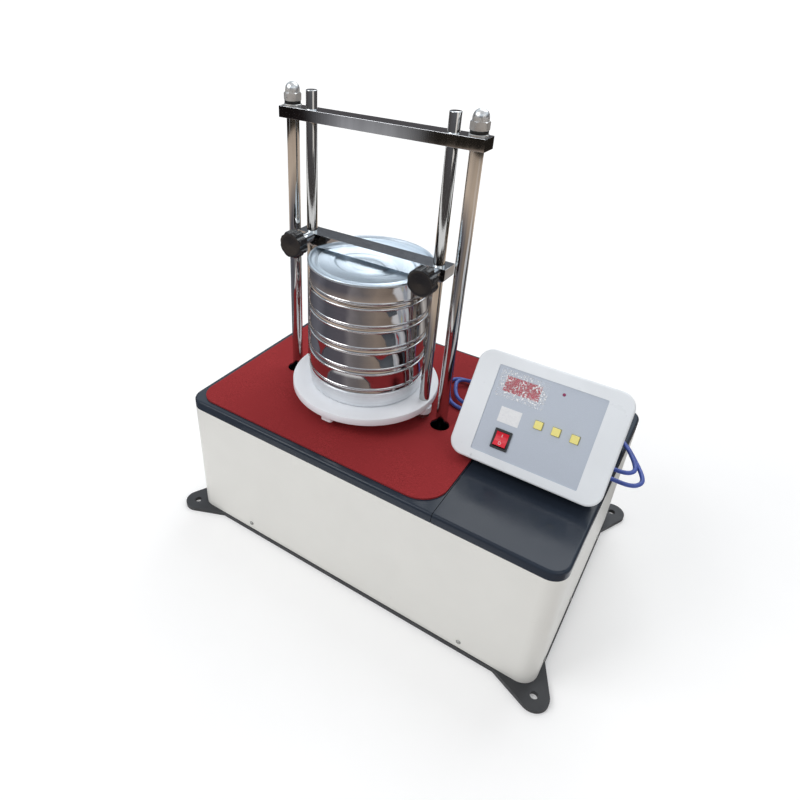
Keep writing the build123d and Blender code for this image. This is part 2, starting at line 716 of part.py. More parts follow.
SHAFT_FLANGE = 34.0
SHAFT_FLANGE_THICK = 7.0
FOOT_RADIUS = 22.0
FOOT_THICK = 12.0
with BuildPart() as tappet_shaft:
    with BuildSketch(Plane.XZ):
        with BuildLine():
            Polyline(
                (0, FOOT_BOTTOM), (FOOT_RADIUS, FOOT_BOTTOM),
                (FOOT_RADIUS, FOOT_BOTTOM + FOOT_THICK), (TAPPET_RADIUS, FOOT_BOTTOM + FOOT_THICK),
                (TAPPET_RADIUS, FRAME_BOTTOM - SHAFT_FLANGE_THICK),
                (SHAFT_FLANGE, FRAME_BOTTOM - SHAFT_FLANGE_THICK),
                (SHAFT_FLANGE, FRAME_BOTTOM), (0, FRAME_BOTTOM),
                close=True,
            )
        make_face()
    revolve(axis=Axis.Z)
save(Pos(STACK_X, STACK_Y, 0) * tappet_shaft.part, "tappet_shaft")

# Snail cam: involute of a small circle, so lift grows evenly with the turn
LIFT_PER_RAD = CAM_LIFT / math.radians(CAM_RISE_DEG)
unwound_low = CAM_LOW_RADIUS / LIFT_PER_RAD
unwound_high = unwound_low + math.radians(CAM_RISE_DEG)


# Point of the involute in the cam's own plane, contact on top at rest
def involute(unwound):
    across = LIFT_PER_RAD * (math.cos(unwound) + unwound * math.sin(unwound))
    up = LIFT_PER_RAD * (math.sin(unwound) - unwound * math.cos(unwound))
    turn = math.pi - unwound_low
    return (
        across * math.cos(turn) - up * math.sin(turn),
        across * math.sin(turn) + up * math.cos(turn),
    )


CAM_SPANS = 24
cam_curve = [
    involute(unwound_low + (unwound_high - unwound_low) * k / CAM_SPANS)
    for k in range(CAM_SPANS + 1)
]
SHAFT_LEFT = STACK_X - 62.0
cam_shaft_right = CRANK_X - GEARBOX_HALF + CAM_SHAFT_END - 0.5
with BuildPart() as tapping_cam:
    with BuildSketch(Plane.YZ.offset(STACK_X - CAM_WIDTH / 2)):
        with Locations((STACK_Y, CAM_AXIS_Z)):
            with BuildLine(mode=Mode.PRIVATE) as cam_line:
                Spline(*cam_curve)
                Line(cam_curve[-1], cam_curve[0])
            add(make_face(cam_line.edges(), mode=Mode.PRIVATE))
    extrude(amount=CAM_WIDTH)
    with BuildSketch(Plane.YZ.offset(SHAFT_LEFT)):
        with Locations((STACK_Y, CAM_AXIS_Z)):
            Circle(CAM_SHAFT_RADIUS)
    extrude(amount=cam_shaft_right - SHAFT_LEFT)
save(tapping_cam.part, "tapping_cam")


# Clamp bar with two threaded bosses in front of the rods
BOSS_RADIUS = 9.0
BOSS_LENGTH = 14.0
CLAMP_END_ROUND = 7.0
with BuildPart() as clamp_bar:
    with BuildSketch(Plane.XZ.offset(-(STACK_Y + CLAMP_WIDTH / 2))):
        with Locations((STACK_X, CLAMP_Z)):
            Rectangle(CLAMP_LENGTH, CLAMP_HEIGHT)
    extrude(amount=CLAMP_WIDTH)
    low_ends = clamp_bar.edges().filter_by(Axis.Y).group_by(Axis.Z)[0]
    fillet(low_ends, CLAMP_END_ROUND)
    with BuildSketch(Plane.XZ.offset(-CLAMP_FRONT_Y)):
        with Locations(*[(x, CLAMP_Z) for x, y in both_sides(ROD_OFFSET)]):
            Circle(BOSS_RADIUS)
    extrude(amount=BOSS_LENGTH)
    with Locations(*[(x, y, CLAMP_Z) for x, y in both_sides(ROD_OFFSET)]):
        Cylinder(ROD_RADIUS + RUNNING_GAP, CLAMP_HEIGHT + 1, mode=Mode.SUBTRACT)
    for x, y in both_sides(ROD_OFFSET):
        with Locations(Location((x, CLAMP_FRONT_Y - BOSS_LENGTH / 2 + 5, CLAMP_Z), (90, 0, 0))):
            Cylinder(STUD_RADIUS + RUNNING_GAP, BOSS_LENGTH + 14, mode=Mode.SUBTRACT)
save(clamp_bar.part, "clamp_bar")

# Star knobs: scalloped skirt, domed face and a stud that presses on the rod
LOBES = 8
KNOB_DOME = 5.0
STUD_TIP_Y = STACK_Y - ROD_RADIUS - 0.4


def clamp_knob(x):
    knob_plane = Plane(origin=(x, KNOB_BACK_Y, CLAMP_Z), x_dir=(1, 0, 0), z_dir=(0, -1, 0))
    front = KNOB_BACK_Y - KNOB_THICK
    with BuildPart(mode=Mode.PRIVATE) as knob:
        with BuildSketch(knob_plane):
            Circle(KNOB_RADIUS)
            with PolarLocations(KNOB_RADIUS + 3.2, LOBES):
                Circle(5.5, mode=Mode.SUBTRACT)
        extrude(amount=KNOB_THICK)
        with BuildSketch(Plane.XY.offset(CLAMP_Z)):
            with BuildLine():
                Polyline(
                    (x, front), (x, KNOB_BACK_Y), (x + KNOB_RADIUS, KNOB_BACK_Y),
                    (x + KNOB_RADIUS, front + KNOB_DOME + 1),
                    (x + KNOB_RADIUS - 1.5, front + KNOB_DOME - 1.5),
                )
                ThreePointArc(
                    (x + KNOB_RADIUS - 1.5, front + KNOB_DOME - 1.5),
                    (x + KNOB_RADIUS * 0.5, front + 0.9),
                    (x, front),
                )
            make_face()
        revolve(axis=Axis((x, 0, CLAMP_Z), (0, 1, 0)), mode=Mode.INTERSECT)
        with BuildSketch(knob_plane.offset(-5)):
            Circle(10)
        extrude(amount=5)
        with BuildSketch(knob_plane.offset(-5)):
            Circle(STUD_RADIUS)
        extrude(amount=-(STUD_TIP_Y - KNOB_BACK_Y - 5))
    return knob.part


save(clamp_knob(STACK_X - ROD_OFFSET), "clamp_knob_left")
save(clamp_knob(STACK_X + ROD_OFFSET), "clamp_knob_right")


# Ring turned about the stack's axis from half a profile of (radius, height) points
def turned(points, base):
    with BuildPart(mode=Mode.PRIVATE) as ring:
        with BuildSketch(Plane.XZ):
            with BuildLine():
                Polyline(*points, close=True)
            make_face()
        revolve(axis=Axis.Z)
    return Pos(STACK_X, STACK_Y, base) * ring.part


# Receiver pan: pressed dish with a rolled rim that takes the lowest skirt
pan_profile = [
    (0, 0), (96.5, 0), (99.8, 2.5), (RING_RADIUS, PAN_HEIGHT - RIM_HEIGHT - 1),
    (RIM_RADIUS - 0.6, PAN_HEIGHT - RIM_HEIGHT), (RIM_RADIUS - 0.6, PAN_HEIGHT),
    (RIM_INNER, PAN_HEIGHT), (RIM_INNER, PAN_HEIGHT - RIM_HEIGHT), (98.6, 3.4), (96, 1.2), (0, 1.2),
]
save(turned(pan_profile, TABLE_TOP), "pan")

# Sieve frame: nesting skirt, neck, crimp bead over the cloth, band and rolled rim
SKIRT_INNER = SKIRT_RADIUS - SKIRT_WALL
BAND_INNER = RING_RADIUS - RING_WALL
frame_profile = [
    (SKIRT_INNER, -SKIRT_DEPTH), (SKIRT_RADIUS, -SKIRT_DEPTH), (SKIRT_RADIUS, 0),
    (RING_RADIUS - 0.5, 0), (RING_RADIUS - 0.9, NECK_HEIGHT - 2.5),
    (RIM_RADIUS - 0.4, NECK_HEIGHT - 0.8), (RIM_RADIUS - 0.4, NECK_HEIGHT + 0.8),
    (RING_RADIUS, NECK_HEIGHT + 2), (RING_RADIUS, SIEVE_PITCH - RIM_HEIGHT),
    (RIM_RADIUS, SIEVE_PITCH - RIM_HEIGHT + 0.6), (RIM_RADIUS, SIEVE_PITCH),
    (RIM_INNER, SIEVE_PITCH), (BAND_INNER, SIEVE_PITCH - RIM_HEIGHT),
    (BAND_INNER, NECK_HEIGHT), (SKIRT_INNER, NECK_HEIGHT - 0.8),
]
cloth_profile = [
    (0, NECK_HEIGHT), (BAND_INNER, NECK_HEIGHT), (BAND_INNER, NECK_HEIGHT + MESH_THICK),
    (0, NECK_HEIGHT + MESH_THICK),
]
for level in range(SIEVE_COUNT):
    base = PAN_RIM + level * SIEVE_PITCH
    with BuildPart() as sieve:
        add(turned(frame_profile, base))
        add(turned(cloth_profile, base))
    save(sieve.part, "sieve_" + str(level + 1))

# Lid: rolled rim over the top sieve, nesting skirt and pressed rings
STACK_TOP = PAN_RIM + SIEVE_COUNT * SIEVE_PITCH
lid_lap = LID_TOP - STACK_TOP
lid_profile = [
    (0, -4.2), (38, -4.2), (40, -5.4), (58, -5.4), (61, -3.6), (92, -3.6), (SKIRT_INNER, -0.6),
    (SKIRT_INNER, -8), (SKIRT_RADIUS, -8), (SKIRT_RADIUS, 0), (RIM_RADIUS + 0.4, 0),
    (RIM_RADIUS + 0.4, -2.6), (LID_RADIUS, -2.6), (LID_RADIUS, lid_lap - 1.2),
    (LID_RADIUS - 1.2, lid_lap), (SKIRT_RADIUS + 1, lid_lap), (93.5, -2.2), (60, -2.2), (57, -4),
    (41, -4), (39, -2.8), (0, -2.8),
]
save(turned(lid_profile, STACK_TOP), "lid")

# Control box: white bezel with a lap that the panel lies behind
with BuildPart() as box_bezel:
    with BuildSketch(box_plane.offset(-BEZEL_DEPTH)):
        RectangleRounded(BEZEL_WIDTH, BEZEL_HEIGHT, BEZEL_CORNER)
    extrude(amount=BEZEL_DEPTH)
    rim_face = box_bezel.faces().filter_by(
        lambda face: face.normal_at().dot(box_plane.z_dir) > 0.99
    )
    fillet(rim_face.edges(), 3.5)
    with BuildSketch(box_plane):
        with Locations((0, PANEL_V)):
            RectangleRounded(PANEL_WIDTH, PANEL_HEIGHT, 2)
    extrude(amount=-BEZEL_DEPTH, mode=Mode.SUBTRACT)
    with BuildSketch(box_plane.offset(-PANEL_RECESS)):
        with Locations((0, PANEL_V)):
            RectangleRounded(PANEL_WIDTH + 2 * PANEL_LAP, PANEL_HEIGHT + 2 * PANEL_LAP, 3)
    extrude(amount=-BEZEL_DEPTH, mode=Mode.SUBTRACT)
    with BuildSketch(box_plane):
        with Locations((-80, -83.5)):
            Rectangle(2.0, 5.0)
    extrude(amount=-1.5, mode=Mode.SUBTRACT)
save(box_bezel.part, "box_bezel")

shell_width = BEZEL_WIDTH - 2 * SHELL_INSET
shell_height = BEZEL_HEIGHT - 2 * SHELL_INSET
shell_back = box_plane.offset(-BEZEL_DEPTH - SHELL_DEPTH)
GLAND_HOLE = 7.0
with BuildPart() as box_shell:
    with BuildSketch(shell_back):
        RectangleRounded(shell_width, shell_height, BEZEL_CORNER - SHELL_INSET + 4)
    extrude(amount=SHELL_DEPTH)
    back_face = box_shell.faces().filter_by(
        lambda face: face.normal_at().dot(box_plane.z_dir) < -0.99
    )
    fillet(back_face.edges(), 5)
    with BuildSketch(shell_back.offset(WALL)):
        RectangleRounded(shell_width - 2 * WALL, shell_height - 2 * WALL, 13)
    extrude(amount=SHELL_DEPTH, mode=Mode.SUBTRACT)
    with BuildSketch(shell_back):
        with Locations(GLAND_UV):
            Circle(GLAND_HOLE)
    extrude(amount=WALL, mode=Mode.SUBTRACT)
    add(bracket_screws.part, mode=Mode.SUBTRACT)
save(box_shell.part, "box_shell")

# Panel plate with its windows
SWITCH_CUT = (22.0, 27.0)
BUTTON_CUT = 13.5
LAMP_RADIUS = 2.5
with BuildPart() as control_panel:
    with BuildSketch(box_plane.offset(-PANEL_RECESS - PANEL_THICK)):
        with Locations((0, PANEL_V)):
            RectangleRounded(PANEL_WIDTH + 2 * PANEL_LAP, PANEL_HEIGHT + 2 * PANEL_LAP, 3)
        with Locations(DISPLAY_UV):
            Rectangle(*DISPLAY_SIZE, mode=Mode.SUBTRACT)
        with Locations(SWITCH_UV):
            Rectangle(*SWITCH_CUT, mode=Mode.SUBTRACT)
        with Locations(*BUTTON_UVS):
            Rectangle(BUTTON_CUT, BUTTON_CUT, mode=Mode.SUBTRACT)
        with Locations(LAMP_UV):
            Circle(LAMP_RADIUS, mode=Mode.SUBTRACT)
    extrude(amount=PANEL_THICK)
save(control_panel.part, "control_panel")

panel_face = box_plane.offset(-PANEL_RECESS)
panel_back = box_plane.offset(-PANEL_RECESS - PANEL_THICK)
with BuildPart() as display_window:
    with BuildSketch(panel_back):
        with Locations(DISPLAY_UV):
            Rectangle(*DISPLAY_SIZE)
    extrude(amount=PANEL_THICK)
    with BuildSketch(panel_back):
        with Locations(DISPLAY_UV):
            Rectangle(DISPLAY_SIZE[0] + 6, DISPLAY_SIZE[1] + 6)
    extrude(amount=-3)
save(display_window.part, "display_window")

with BuildPart() as indicator_lamp:
    with BuildSketch(panel_back.offset(-4)):
        with Locations(LAMP_UV):
            Circle(LAMP_RADIUS)
    extrude(amount=PANEL_THICK + 5)
    lamp_top = indicator_lamp.faces().filter_by(
        lambda face: face.normal_at().dot(box_plane.z_dir) > 0.99
    )
    chamfer(lamp_top.edges(), 0.9)
save(indicator_lamp.part, "indicator_lamp")

# Rocker switch: framed body and a red rocker on a cross pin line
SWITCH_LIP = 2.0
SWITCH_BODY_DEPTH = 20.0
ROCKER_GAP = 0.5
with BuildPart() as switch_body:
    with BuildSketch(panel_face):
        with Locations(SWITCH_UV):
            RectangleRounded(*SWITCH_SIZE, 1.5)
    extrude(amount=SWITCH_LIP)
    with BuildSketch(panel_face):
        with Locations(SWITCH_UV):
            Rectangle(*SWITCH_CUT)
    extrude(amount=-SWITCH_BODY_DEPTH)
    with BuildSketch(panel_face.offset(SWITCH_LIP)):
        with Locations(SWITCH_UV):
            Rectangle(ROCKER_SIZE[0] + 2 * ROCKER_GAP, ROCKER_SIZE[1] + 2 * ROCKER_GAP)
    extrude(amount=-12, mode=Mode.SUBTRACT)
save(switch_body.part, "switch_body")

# Rocker profile across its pin, drawn level and stored turned to its off side
ROCKER_PIVOT = -1.0
ROCKER_TIP = 5.6
ROCKER_MIDDLE = 3.4
ROCKER_KEEL = 4.5
half_rocker = ROCKER_SIZE[1] / 2
rocker_centre = panel_face.from_local_coords((SWITCH_UV[0], SWITCH_UV[1], ROCKER_PIVOT))
rocker_tilt = math.radians(BOX_TILT - ROCKER_TURN)
rocker_plane = Plane(
    origin=rocker_centre, x_dir=(0, math.cos(rocker_tilt), math.sin(rocker_tilt)), z_dir=(1, 0, 0)
)
with BuildPart() as switch_rocker:
    with BuildSketch(rocker_plane.offset(-ROCKER_SIZE[0] / 2)):
        with BuildLine():
            Polyline(
                (-5, -ROCKER_KEEL), (5, -ROCKER_KEEL), (half_rocker - 0.6, 0),
                (half_rocker - 1.0, ROCKER_TIP),
            )
            ThreePointArc(
                (half_rocker - 1.0, ROCKER_TIP), (0, ROCKER_MIDDLE), (-half_rocker + 1.0, ROCKER_TIP)
            )
            Polyline((-half_rocker + 1.0, ROCKER_TIP), (-half_rocker + 0.6, 0), (-5, -ROCKER_KEEL))
        make_face()
    extrude(amount=ROCKER_SIZE[0])
save(switch_rocker.part, "switch_rocker")
print("rocker pivot", rocker_centre)

# Square push buttons: cap in the panel's hole, stem in a switch body behind it
CAP_PROUD = 3.0
CAP_DEPTH = 4.5
STEM_RADIUS = 2.0
BUTTON_HOUSING = (16.0, BOARD_DEPTH - PANEL_THICK - 3.0)
housing_face = -PANEL_THICK - 3.0
for number, uv in enumerate(BUTTON_UVS, 1):
    with BuildPart() as button:
        with BuildSketch(panel_face.offset(CAP_PROUD - CAP_DEPTH)):
            with Locations(uv):
                RectangleRounded(BUTTON_SIZE, BUTTON_SIZE, 1)
        extrude(amount=CAP_DEPTH)
        cap_face = button.faces().filter_by(
            lambda face: face.normal_at().dot(box_plane.z_dir) > 0.99
        )
        chamfer(cap_face.edges(), 0.7)
        with BuildSketch(panel_face.offset(CAP_PROUD - CAP_DEPTH)):
            with Locations(uv):
                Circle(STEM_RADIUS)
        extrude(amount=housing_face - CAP_PROUD + CAP_DEPTH - 3)
    save(button.part, "button_" + str(number))

# Circuit board behind the panel on four pillars
BOARD = (150.0, 118.0)
BOARD_V = 9.5
with BuildPart() as circuit_board:
    with BuildSketch(panel_face.offset(-BOARD_DEPTH)):
        with Locations((6, BOARD_V)):
            Rectangle(*BOARD)
        with Locations(SWITCH_UV):
            Rectangle(SWITCH_CUT[0] + 4, SWITCH_CUT[1] + 4, mode=Mode.SUBTRACT)
    extrude(amount=-1.6)
    with BuildSketch(panel_face.offset(-BOARD_DEPTH)):
        with Locations((6, BOARD_V)):
            with GridLocations(BOARD[0] - 12, BOARD[1] - 10, 2, 2):
                Circle(3)
    extrude(amount=BOARD_DEPTH - PANEL_THICK)
    for uv in BUTTON_UVS:
        with BuildSketch(panel_face.offset(housing_face)):
            with Locations(uv):
                Rectangle(BUTTON_HOUSING[0], BUTTON_HOUSING[0])
        extrude(amount=-BUTTON_HOUSING[1])
        with BuildSketch(panel_face.offset(housing_face)):
            with Locations(uv):
                Circle(STEM_RADIUS + RUNNING_GAP)
        extrude(amount=-BUTTON_HOUSING[1] + 1, mode=Mode.SUBTRACT)
save(circuit_board.part, "circuit_board")

# Bracket that holds the box: back plate, foot on the cover and two gussets
rise_y = KNEE_Y + BRACKET_RISE * BOX_COS
rise_z = KNEE_Z + BRACKET_RISE * BOX_SIN
skin_y = BRACKET_THICK * BOX_SIN
skin_z = -BRACKET_THICK * BOX_COS
with BuildPart() as box_bracket:
    with BuildSketch(Plane.YZ.offset(BOX_X - BRACKET_WIDTH / 2)):
        with BuildLine():
            Polyline(
                (KNEE_Y, COVER_TOP), (KNEE_Y + FOOT_LENGTH, COVER_TOP),
                (KNEE_Y + FOOT_LENGTH, KNEE_Z), (KNEE_Y + skin_y + 3, KNEE_Z),
                (rise_y + skin_y, rise_z + skin_z), (rise_y, rise_z), (KNEE_Y, KNEE_Z),
                close=True,
            )
        make_face()
    extrude(amount=BRACKET_WIDTH)
    for side in (-1, 1):
        inner = BOX_X + side * (BRACKET_WIDTH / 2 - BRACKET_THICK / 2) - BRACKET_THICK / 2
        with BuildSketch(Plane.YZ.offset(inner)):
            with BuildLine():
                Polyline(
                    (KNEE_Y + skin_y, KNEE_Z - 0.5), (KNEE_Y + FOOT_LENGTH - 4, KNEE_Z - 0.5),
                    (rise_y + skin_y * 0.8, rise_z + skin_z - 6),
                    close=True,
                )
            make_face()
        extrude(amount=BRACKET_THICK)
    add(bracket_screws.part, mode=Mode.SUBTRACT)
save(box_bracket.part, "box_bracket")

# Cable gland on the box's back: hexagon, domed cap and tapered strain relief
GLAND_HEX = 9.0
GLAND_NUT = 8.0
RELIEF_LENGTH = 26.0
gland_plane = Plane(
    origin=shell_back.from_local_coords((GLAND_UV[0], GLAND_UV[1], 0)),
    x_dir=(1, 0, 0),
    z_dir=-box_plane.z_dir,
)
with BuildPart() as cable_gland:
    with BuildSketch(gland_plane):
        RegularPolygon(GLAND_HEX, 6, major_radius=False)
    extrude(amount=GLAND_NUT)
    with BuildSketch(gland_plane.offset(GLAND_NUT)):
        Circle(7.0)
    with BuildSketch(gland_plane.offset(GLAND_NUT + RELIEF_LENGTH)):
        Circle(CORD_RADIUS + 0.9)
    loft()
    with BuildSketch(gland_plane):
        Circle(GLAND_HOLE)
    extrude(amount=-WALL)
    with BuildSketch(gland_plane.offset(-WALL)):
        RegularPolygon(GLAND_HEX, 6, major_radius=False)
    extrude(amount=-4)
save(cable_gland.part, "cable_gland")

# Mains lead: a straight stretch out of the gland, loose turns and a tail with the plug
exit_point = gland_plane.origin + gland_plane.z_dir * (GLAND_NUT + RELIEF_LENGTH)
lead_end = exit_point + gland_plane.z_dir * LEAD_RUN
with BuildPart() as cord_lead:
    with BuildSketch(gland_plane.offset(GLAND_NUT + RELIEF_LENGTH)):
        Circle(CORD_RADIUS)
    extrude(amount=LEAD_RUN)
save(cord_lead.part, "cord_lead")
print("cord exit", exit_point, "enters the coil", lead_end)

# Radius of each corner's arc, as large as its two runs allow
def corner_radii(route):
    radii = []
    for before, point, after in zip(route, route[1:], route[2:]):
        run_in = Vector(point) - Vector(before)
        run_out = Vector(after) - Vector(point)
        turn = math.radians(run_in.get_angle(run_out))
        radii.append(0.45 * min(run_in.length, run_out.length) / math.tan(turn / 2))
    return radii


tail_route = [
    (322, 110, 272), (300, 125, 271.5), (276, 137, 274), (253, 146, 278), (234, 150, 278),
]
tail_radii = corner_radii(tail_route)
with BuildPart() as cord_tail:
    with BuildLine() as tail_line:
        FilletPolyline(*tail_route, radius=tail_radii)
    with BuildSketch(Plane(origin=tail_line.wires()[0] @ 0, z_dir=tail_line.wires()[0] % 0)):
        Circle(CORD_RADIUS)
    sweep()
save(cord_tail.part, "cord_tail")
tail_length = tail_line.wires()[0].length
print("cord radii", [round(radius, 1) for radius in tail_radii])
print("tail volume", cord_tail.part.volume, "section x length", math.pi * CORD_RADIUS**2 * tail_length)

# Outer shape of the loose turns, with the lead and the tail let into it
coil_outline = [
    (310, -6), (352, -7), (381, -7), (398, 8), (397, 30), (386, 56), (366, 90), (340, 116),
    (270, 126), (160, 127), (60, 122), (18, 120), (13, 108), (22, 80), (36, 50), (48, 26),
    (80, 22), (150, 18), (230, 4),
]
COIL_HEIGHT = 12.0
with BuildPart() as cord_coil:
    with BuildSketch(Plane.XY.offset(MAT_TOP + 0.1)):
        with BuildLine():
            Spline(*coil_outline, periodic=True)
        make_face()
    extrude(amount=COIL_HEIGHT)
    add(cord_lead.part, mode=Mode.SUBTRACT)
    add(cord_tail.part, mode=Mode.SUBTRACT)
save(cord_coil.part, "cord_coil")

# Moulded plug lying on the cover, with three flat blades
PLUG_LENGTH = 36.0
PLUG_FACE = (36.0, 28.0)
tail_end = Vector(tail_route[-1])
tail_run = tail_end - Vector(tail_route[-2])
plug_plane = Plane(origin=tail_end, x_dir=(-tail_run.Y, tail_run.X, 0), z_dir=tail_run)
with BuildPart() as plug:
    with BuildSketch(plug_plane):
        Circle(CORD_RADIUS + 2.5)
    with BuildSketch(plug_plane.offset(PLUG_LENGTH * 0.45)):
        RectangleRounded(24, 19, 8)
    with BuildSketch(plug_plane.offset(PLUG_LENGTH * 0.7)):
        RectangleRounded(*PLUG_FACE, 9)
    loft()
    with BuildSketch(plug_plane.offset(PLUG_LENGTH * 0.7)):
        RectangleRounded(*PLUG_FACE, 9)
    extrude(amount=PLUG_LENGTH * 0.3)
    with BuildSketch(plug_plane.offset(PLUG_LENGTH)):
        with Locations((0, -7)):
            Rectangle(1.6, 6.3)
        with Locations(Location((-6.8, 4.5, 0), 30), Location((6.8, 4.5, 0), -30)):
            Rectangle(1.6, 6.3)
    extrude(amount=17)
save(plug.part, "plug")
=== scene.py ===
import math

import bmesh
import bpy
from mathutils import Matrix, Vector


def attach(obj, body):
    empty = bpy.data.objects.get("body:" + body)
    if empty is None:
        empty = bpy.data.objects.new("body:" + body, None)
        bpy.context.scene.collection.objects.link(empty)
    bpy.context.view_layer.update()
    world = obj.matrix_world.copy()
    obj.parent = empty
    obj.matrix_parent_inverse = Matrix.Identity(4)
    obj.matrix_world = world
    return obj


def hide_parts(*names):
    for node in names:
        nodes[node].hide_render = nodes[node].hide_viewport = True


bl_info = {
    "name": "Sieve Shaker",
    "version": (1, 0, 0),
    "blender": (4, 5, 0),
    "location": "View3D > Sidebar > Shaker",
    "description": "Dresses a laboratory sieve shaker: finishes, turned sieves, lead and stage",
    "category": "Object",
}

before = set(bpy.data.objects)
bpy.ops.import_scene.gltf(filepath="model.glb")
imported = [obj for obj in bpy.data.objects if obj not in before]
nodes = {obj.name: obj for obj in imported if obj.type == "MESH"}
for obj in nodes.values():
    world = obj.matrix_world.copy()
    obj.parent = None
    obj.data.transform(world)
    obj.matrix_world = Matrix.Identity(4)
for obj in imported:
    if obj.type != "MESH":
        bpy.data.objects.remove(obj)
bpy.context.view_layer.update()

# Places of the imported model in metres, with the control box's own right, up and out
STACK = Vector((-0.094, -0.027, 0.0))
ROD_OFFSET = 0.121
COLUMN_OFFSET = 0.158
PAN_BASE = 0.306
PAN_RIM = 0.3354
SIEVE_PITCH = 0.0397
STACK_TOP = 0.5339
CLAMP_Z = 0.5473
BAR_BOTTOM = 0.735
BAR_TOP = 0.7524
BOX_TILT = math.radians(56.5)
BOX_ORIGIN = Vector((0.230, -0.0505, 0.3565))
BOX_RIGHT = Vector((1.0, 0.0, 0.0))
BOX_UP = Vector((0.0, math.cos(BOX_TILT), math.sin(BOX_TILT)))
BOX_OUT = Vector((0.0, -math.sin(BOX_TILT), math.cos(BOX_TILT)))
SIDES = ((-1, "left"), (1, "right"))

# The camera fitted to the photograph: metres, radians and millimetres
CAMERA_PLACE = (0.3966, -0.8370, 0.9331)
CAMERA_YAW = math.radians(-32.5)
CAMERA_PITCH = math.radians(32.0)
CAMERA_ROLL = math.radians(2.1)
CAMERA_LENS = 27.84
CAMERA_SHIFT = (0.0565, -0.0519)
CAMERA_CLIP = (0.05, 300.0)

# Direction of the camera from the stack, about which the card's fields are laid out
CAMERA_SIDE = math.radians(-58.8)


# Node helpers
class Finish:
    """A material under construction: its tree, its main shader and short ways to add nodes."""

    def __init__(self, name, colour, roughness, metallic=0.0):
        self.material = bpy.data.materials.new(name)
        self.material.use_nodes = True
        self.tree = self.material.node_tree
        self.shader = self.tree.nodes["Principled BSDF"]
        self.shader.inputs["Base Color"].default_value = (*colour, 1.0)
        self.shader.inputs["Roughness"].default_value = roughness
        self.shader.inputs["Metallic"].default_value = metallic
        self.colour = colour
        self.place = self.add("ShaderNodeTexCoord")

    def add(self, kind, **settings):
        node = self.tree.nodes.new(kind)
        for key, value in settings.items():
            setattr(node, key, value)
        return node

    def join(self, source, target):
        self.tree.links.new(source, target)

    def noise(self, scale, detail=3.0, rough=0.55, stretch=(1, 1, 1)):
        """Noise on the object's own coordinates, stretched by the given factors."""
        mapping = self.add("ShaderNodeMapping")
        mapping.inputs["Scale"].default_value = stretch
        self.join(self.place.outputs["Object"], mapping.inputs["Vector"])
        texture = self.add("ShaderNodeTexNoise")
        texture.inputs["Scale"].default_value = scale
        texture.inputs["Detail"].default_value = detail
        texture.inputs["Roughness"].default_value = rough
        self.join(mapping.outputs["Vector"], texture.inputs["Vector"])
        return texture.outputs["Fac"]

    def spread(self, value, low, high, low_in=0.3, high_in=0.7):
        """Maps a 0..1 value to the given span."""
        node = self.add("ShaderNodeMapRange")
        node.inputs["From Min"].default_value = low_in
        node.inputs["From Max"].default_value = high_in
        node.inputs["To Min"].default_value = low
        node.inputs["To Max"].default_value = high
        self.join(value, node.inputs["Value"])
        return node.outputs["Result"]

    def mix(self, factor, first, second):
        """Mixes two colours, each a tuple or a socket."""
        node = self.add("ShaderNodeMix", data_type="RGBA")
        self.join(factor, node.inputs["Factor"])
        for socket, value in ((node.inputs[6], first), (node.inputs[7], second)):
            if isinstance(value, bpy.types.NodeSocket):
                self.join(value, socket)
            else:
                socket.default_value = (*value, 1.0)
        return node.outputs[2]

    def work_out(self, operation, first, second):
        """Joins two values, each a number or a socket, by one operation."""
        node = self.add("ShaderNodeMath", operation=operation)
        for socket, value in ((node.inputs[0], first), (node.inputs[1], second)):
            if isinstance(value, bpy.types.NodeSocket):
                self.join(value, socket)
            else:
                socket.default_value = value
        return node.outputs["Value"]

    def reach(self, vector):
        """Length of a vector."""
        node = self.add("ShaderNodeVectorMath", operation="LENGTH")
        self.join(vector, node.inputs[0])
        return node.outputs["Value"]

    def ramp(self, value, stops):
        """Runs a value through a colour ramp with the given stops."""
        node = self.add("ShaderNodeValToRGB")
        set_stops(node.color_ramp, stops)
        self.join(value, node.inputs["Fac"])
        return node.outputs["Color"]

    def tint(self, factor, shade, low_in=0.35, high_in=0.65):
        """Breaks the base colour up towards a shade where the factor is high."""
        source = self.shader.inputs["Base Color"]
        first = source.links[0].from_socket if source.is_linked else self.colour
        mixed = self.mix(self.spread(factor, 0.0, 1.0, low_in, high_in), first, shade)
        self.join(mixed, source)

    def gloss(self, factor, low, high):
        self.join(self.spread(factor, low, high), self.shader.inputs["Roughness"])

    def bump(self, height, strength, distance):
        """Adds relief on top of whatever relief is there."""
        node = self.add("ShaderNodeBump")
        node.inputs["Strength"].default_value = strength
        node.inputs["Distance"].default_value = distance
        self.join(height, node.inputs["Height"])
        normal = self.shader.inputs["Normal"]
        if normal.is_linked:
            self.join(normal.links[0].from_socket, node.inputs["Normal"])
        self.join(node.outputs["Normal"], normal)


def set_stops(ramp, stops):
    """Fills a colour ramp, which starts with two stops, with (position, colour) pairs."""
    for index, (position, colour) in enumerate(stops):
        stop = ramp.elements[index] if index < 2 else ramp.elements.new(position)
        stop.position = position
        stop.color = (*colour, 1.0)


def shade(colour, factor):
    """The colour made darker or lighter by a factor."""
    return tuple(channel * factor for channel in colour)


def powder_coat(name, colour, roughness, peel=900.0):
    """Sprayed paint: faint clouding, orange peel and handling marks."""
    coat = Finish(name, colour, roughness)
    cloud = coat.noise(9.0, 4.0)
    coat.tint(cloud, shade(colour, 0.975))
    marks = coat.noise(60.0, 6.0, 0.7, (1, 1, 0.4))
    coat.tint(marks, shade(colour, 0.9), 0.68, 0.8)
    coat.gloss(coat.noise(30.0, 4.0), roughness - 0.06, roughness + 0.1)
    coat.bump(coat.noise(peel, 2.0), 0.10, 0.0004)
    return coat.material


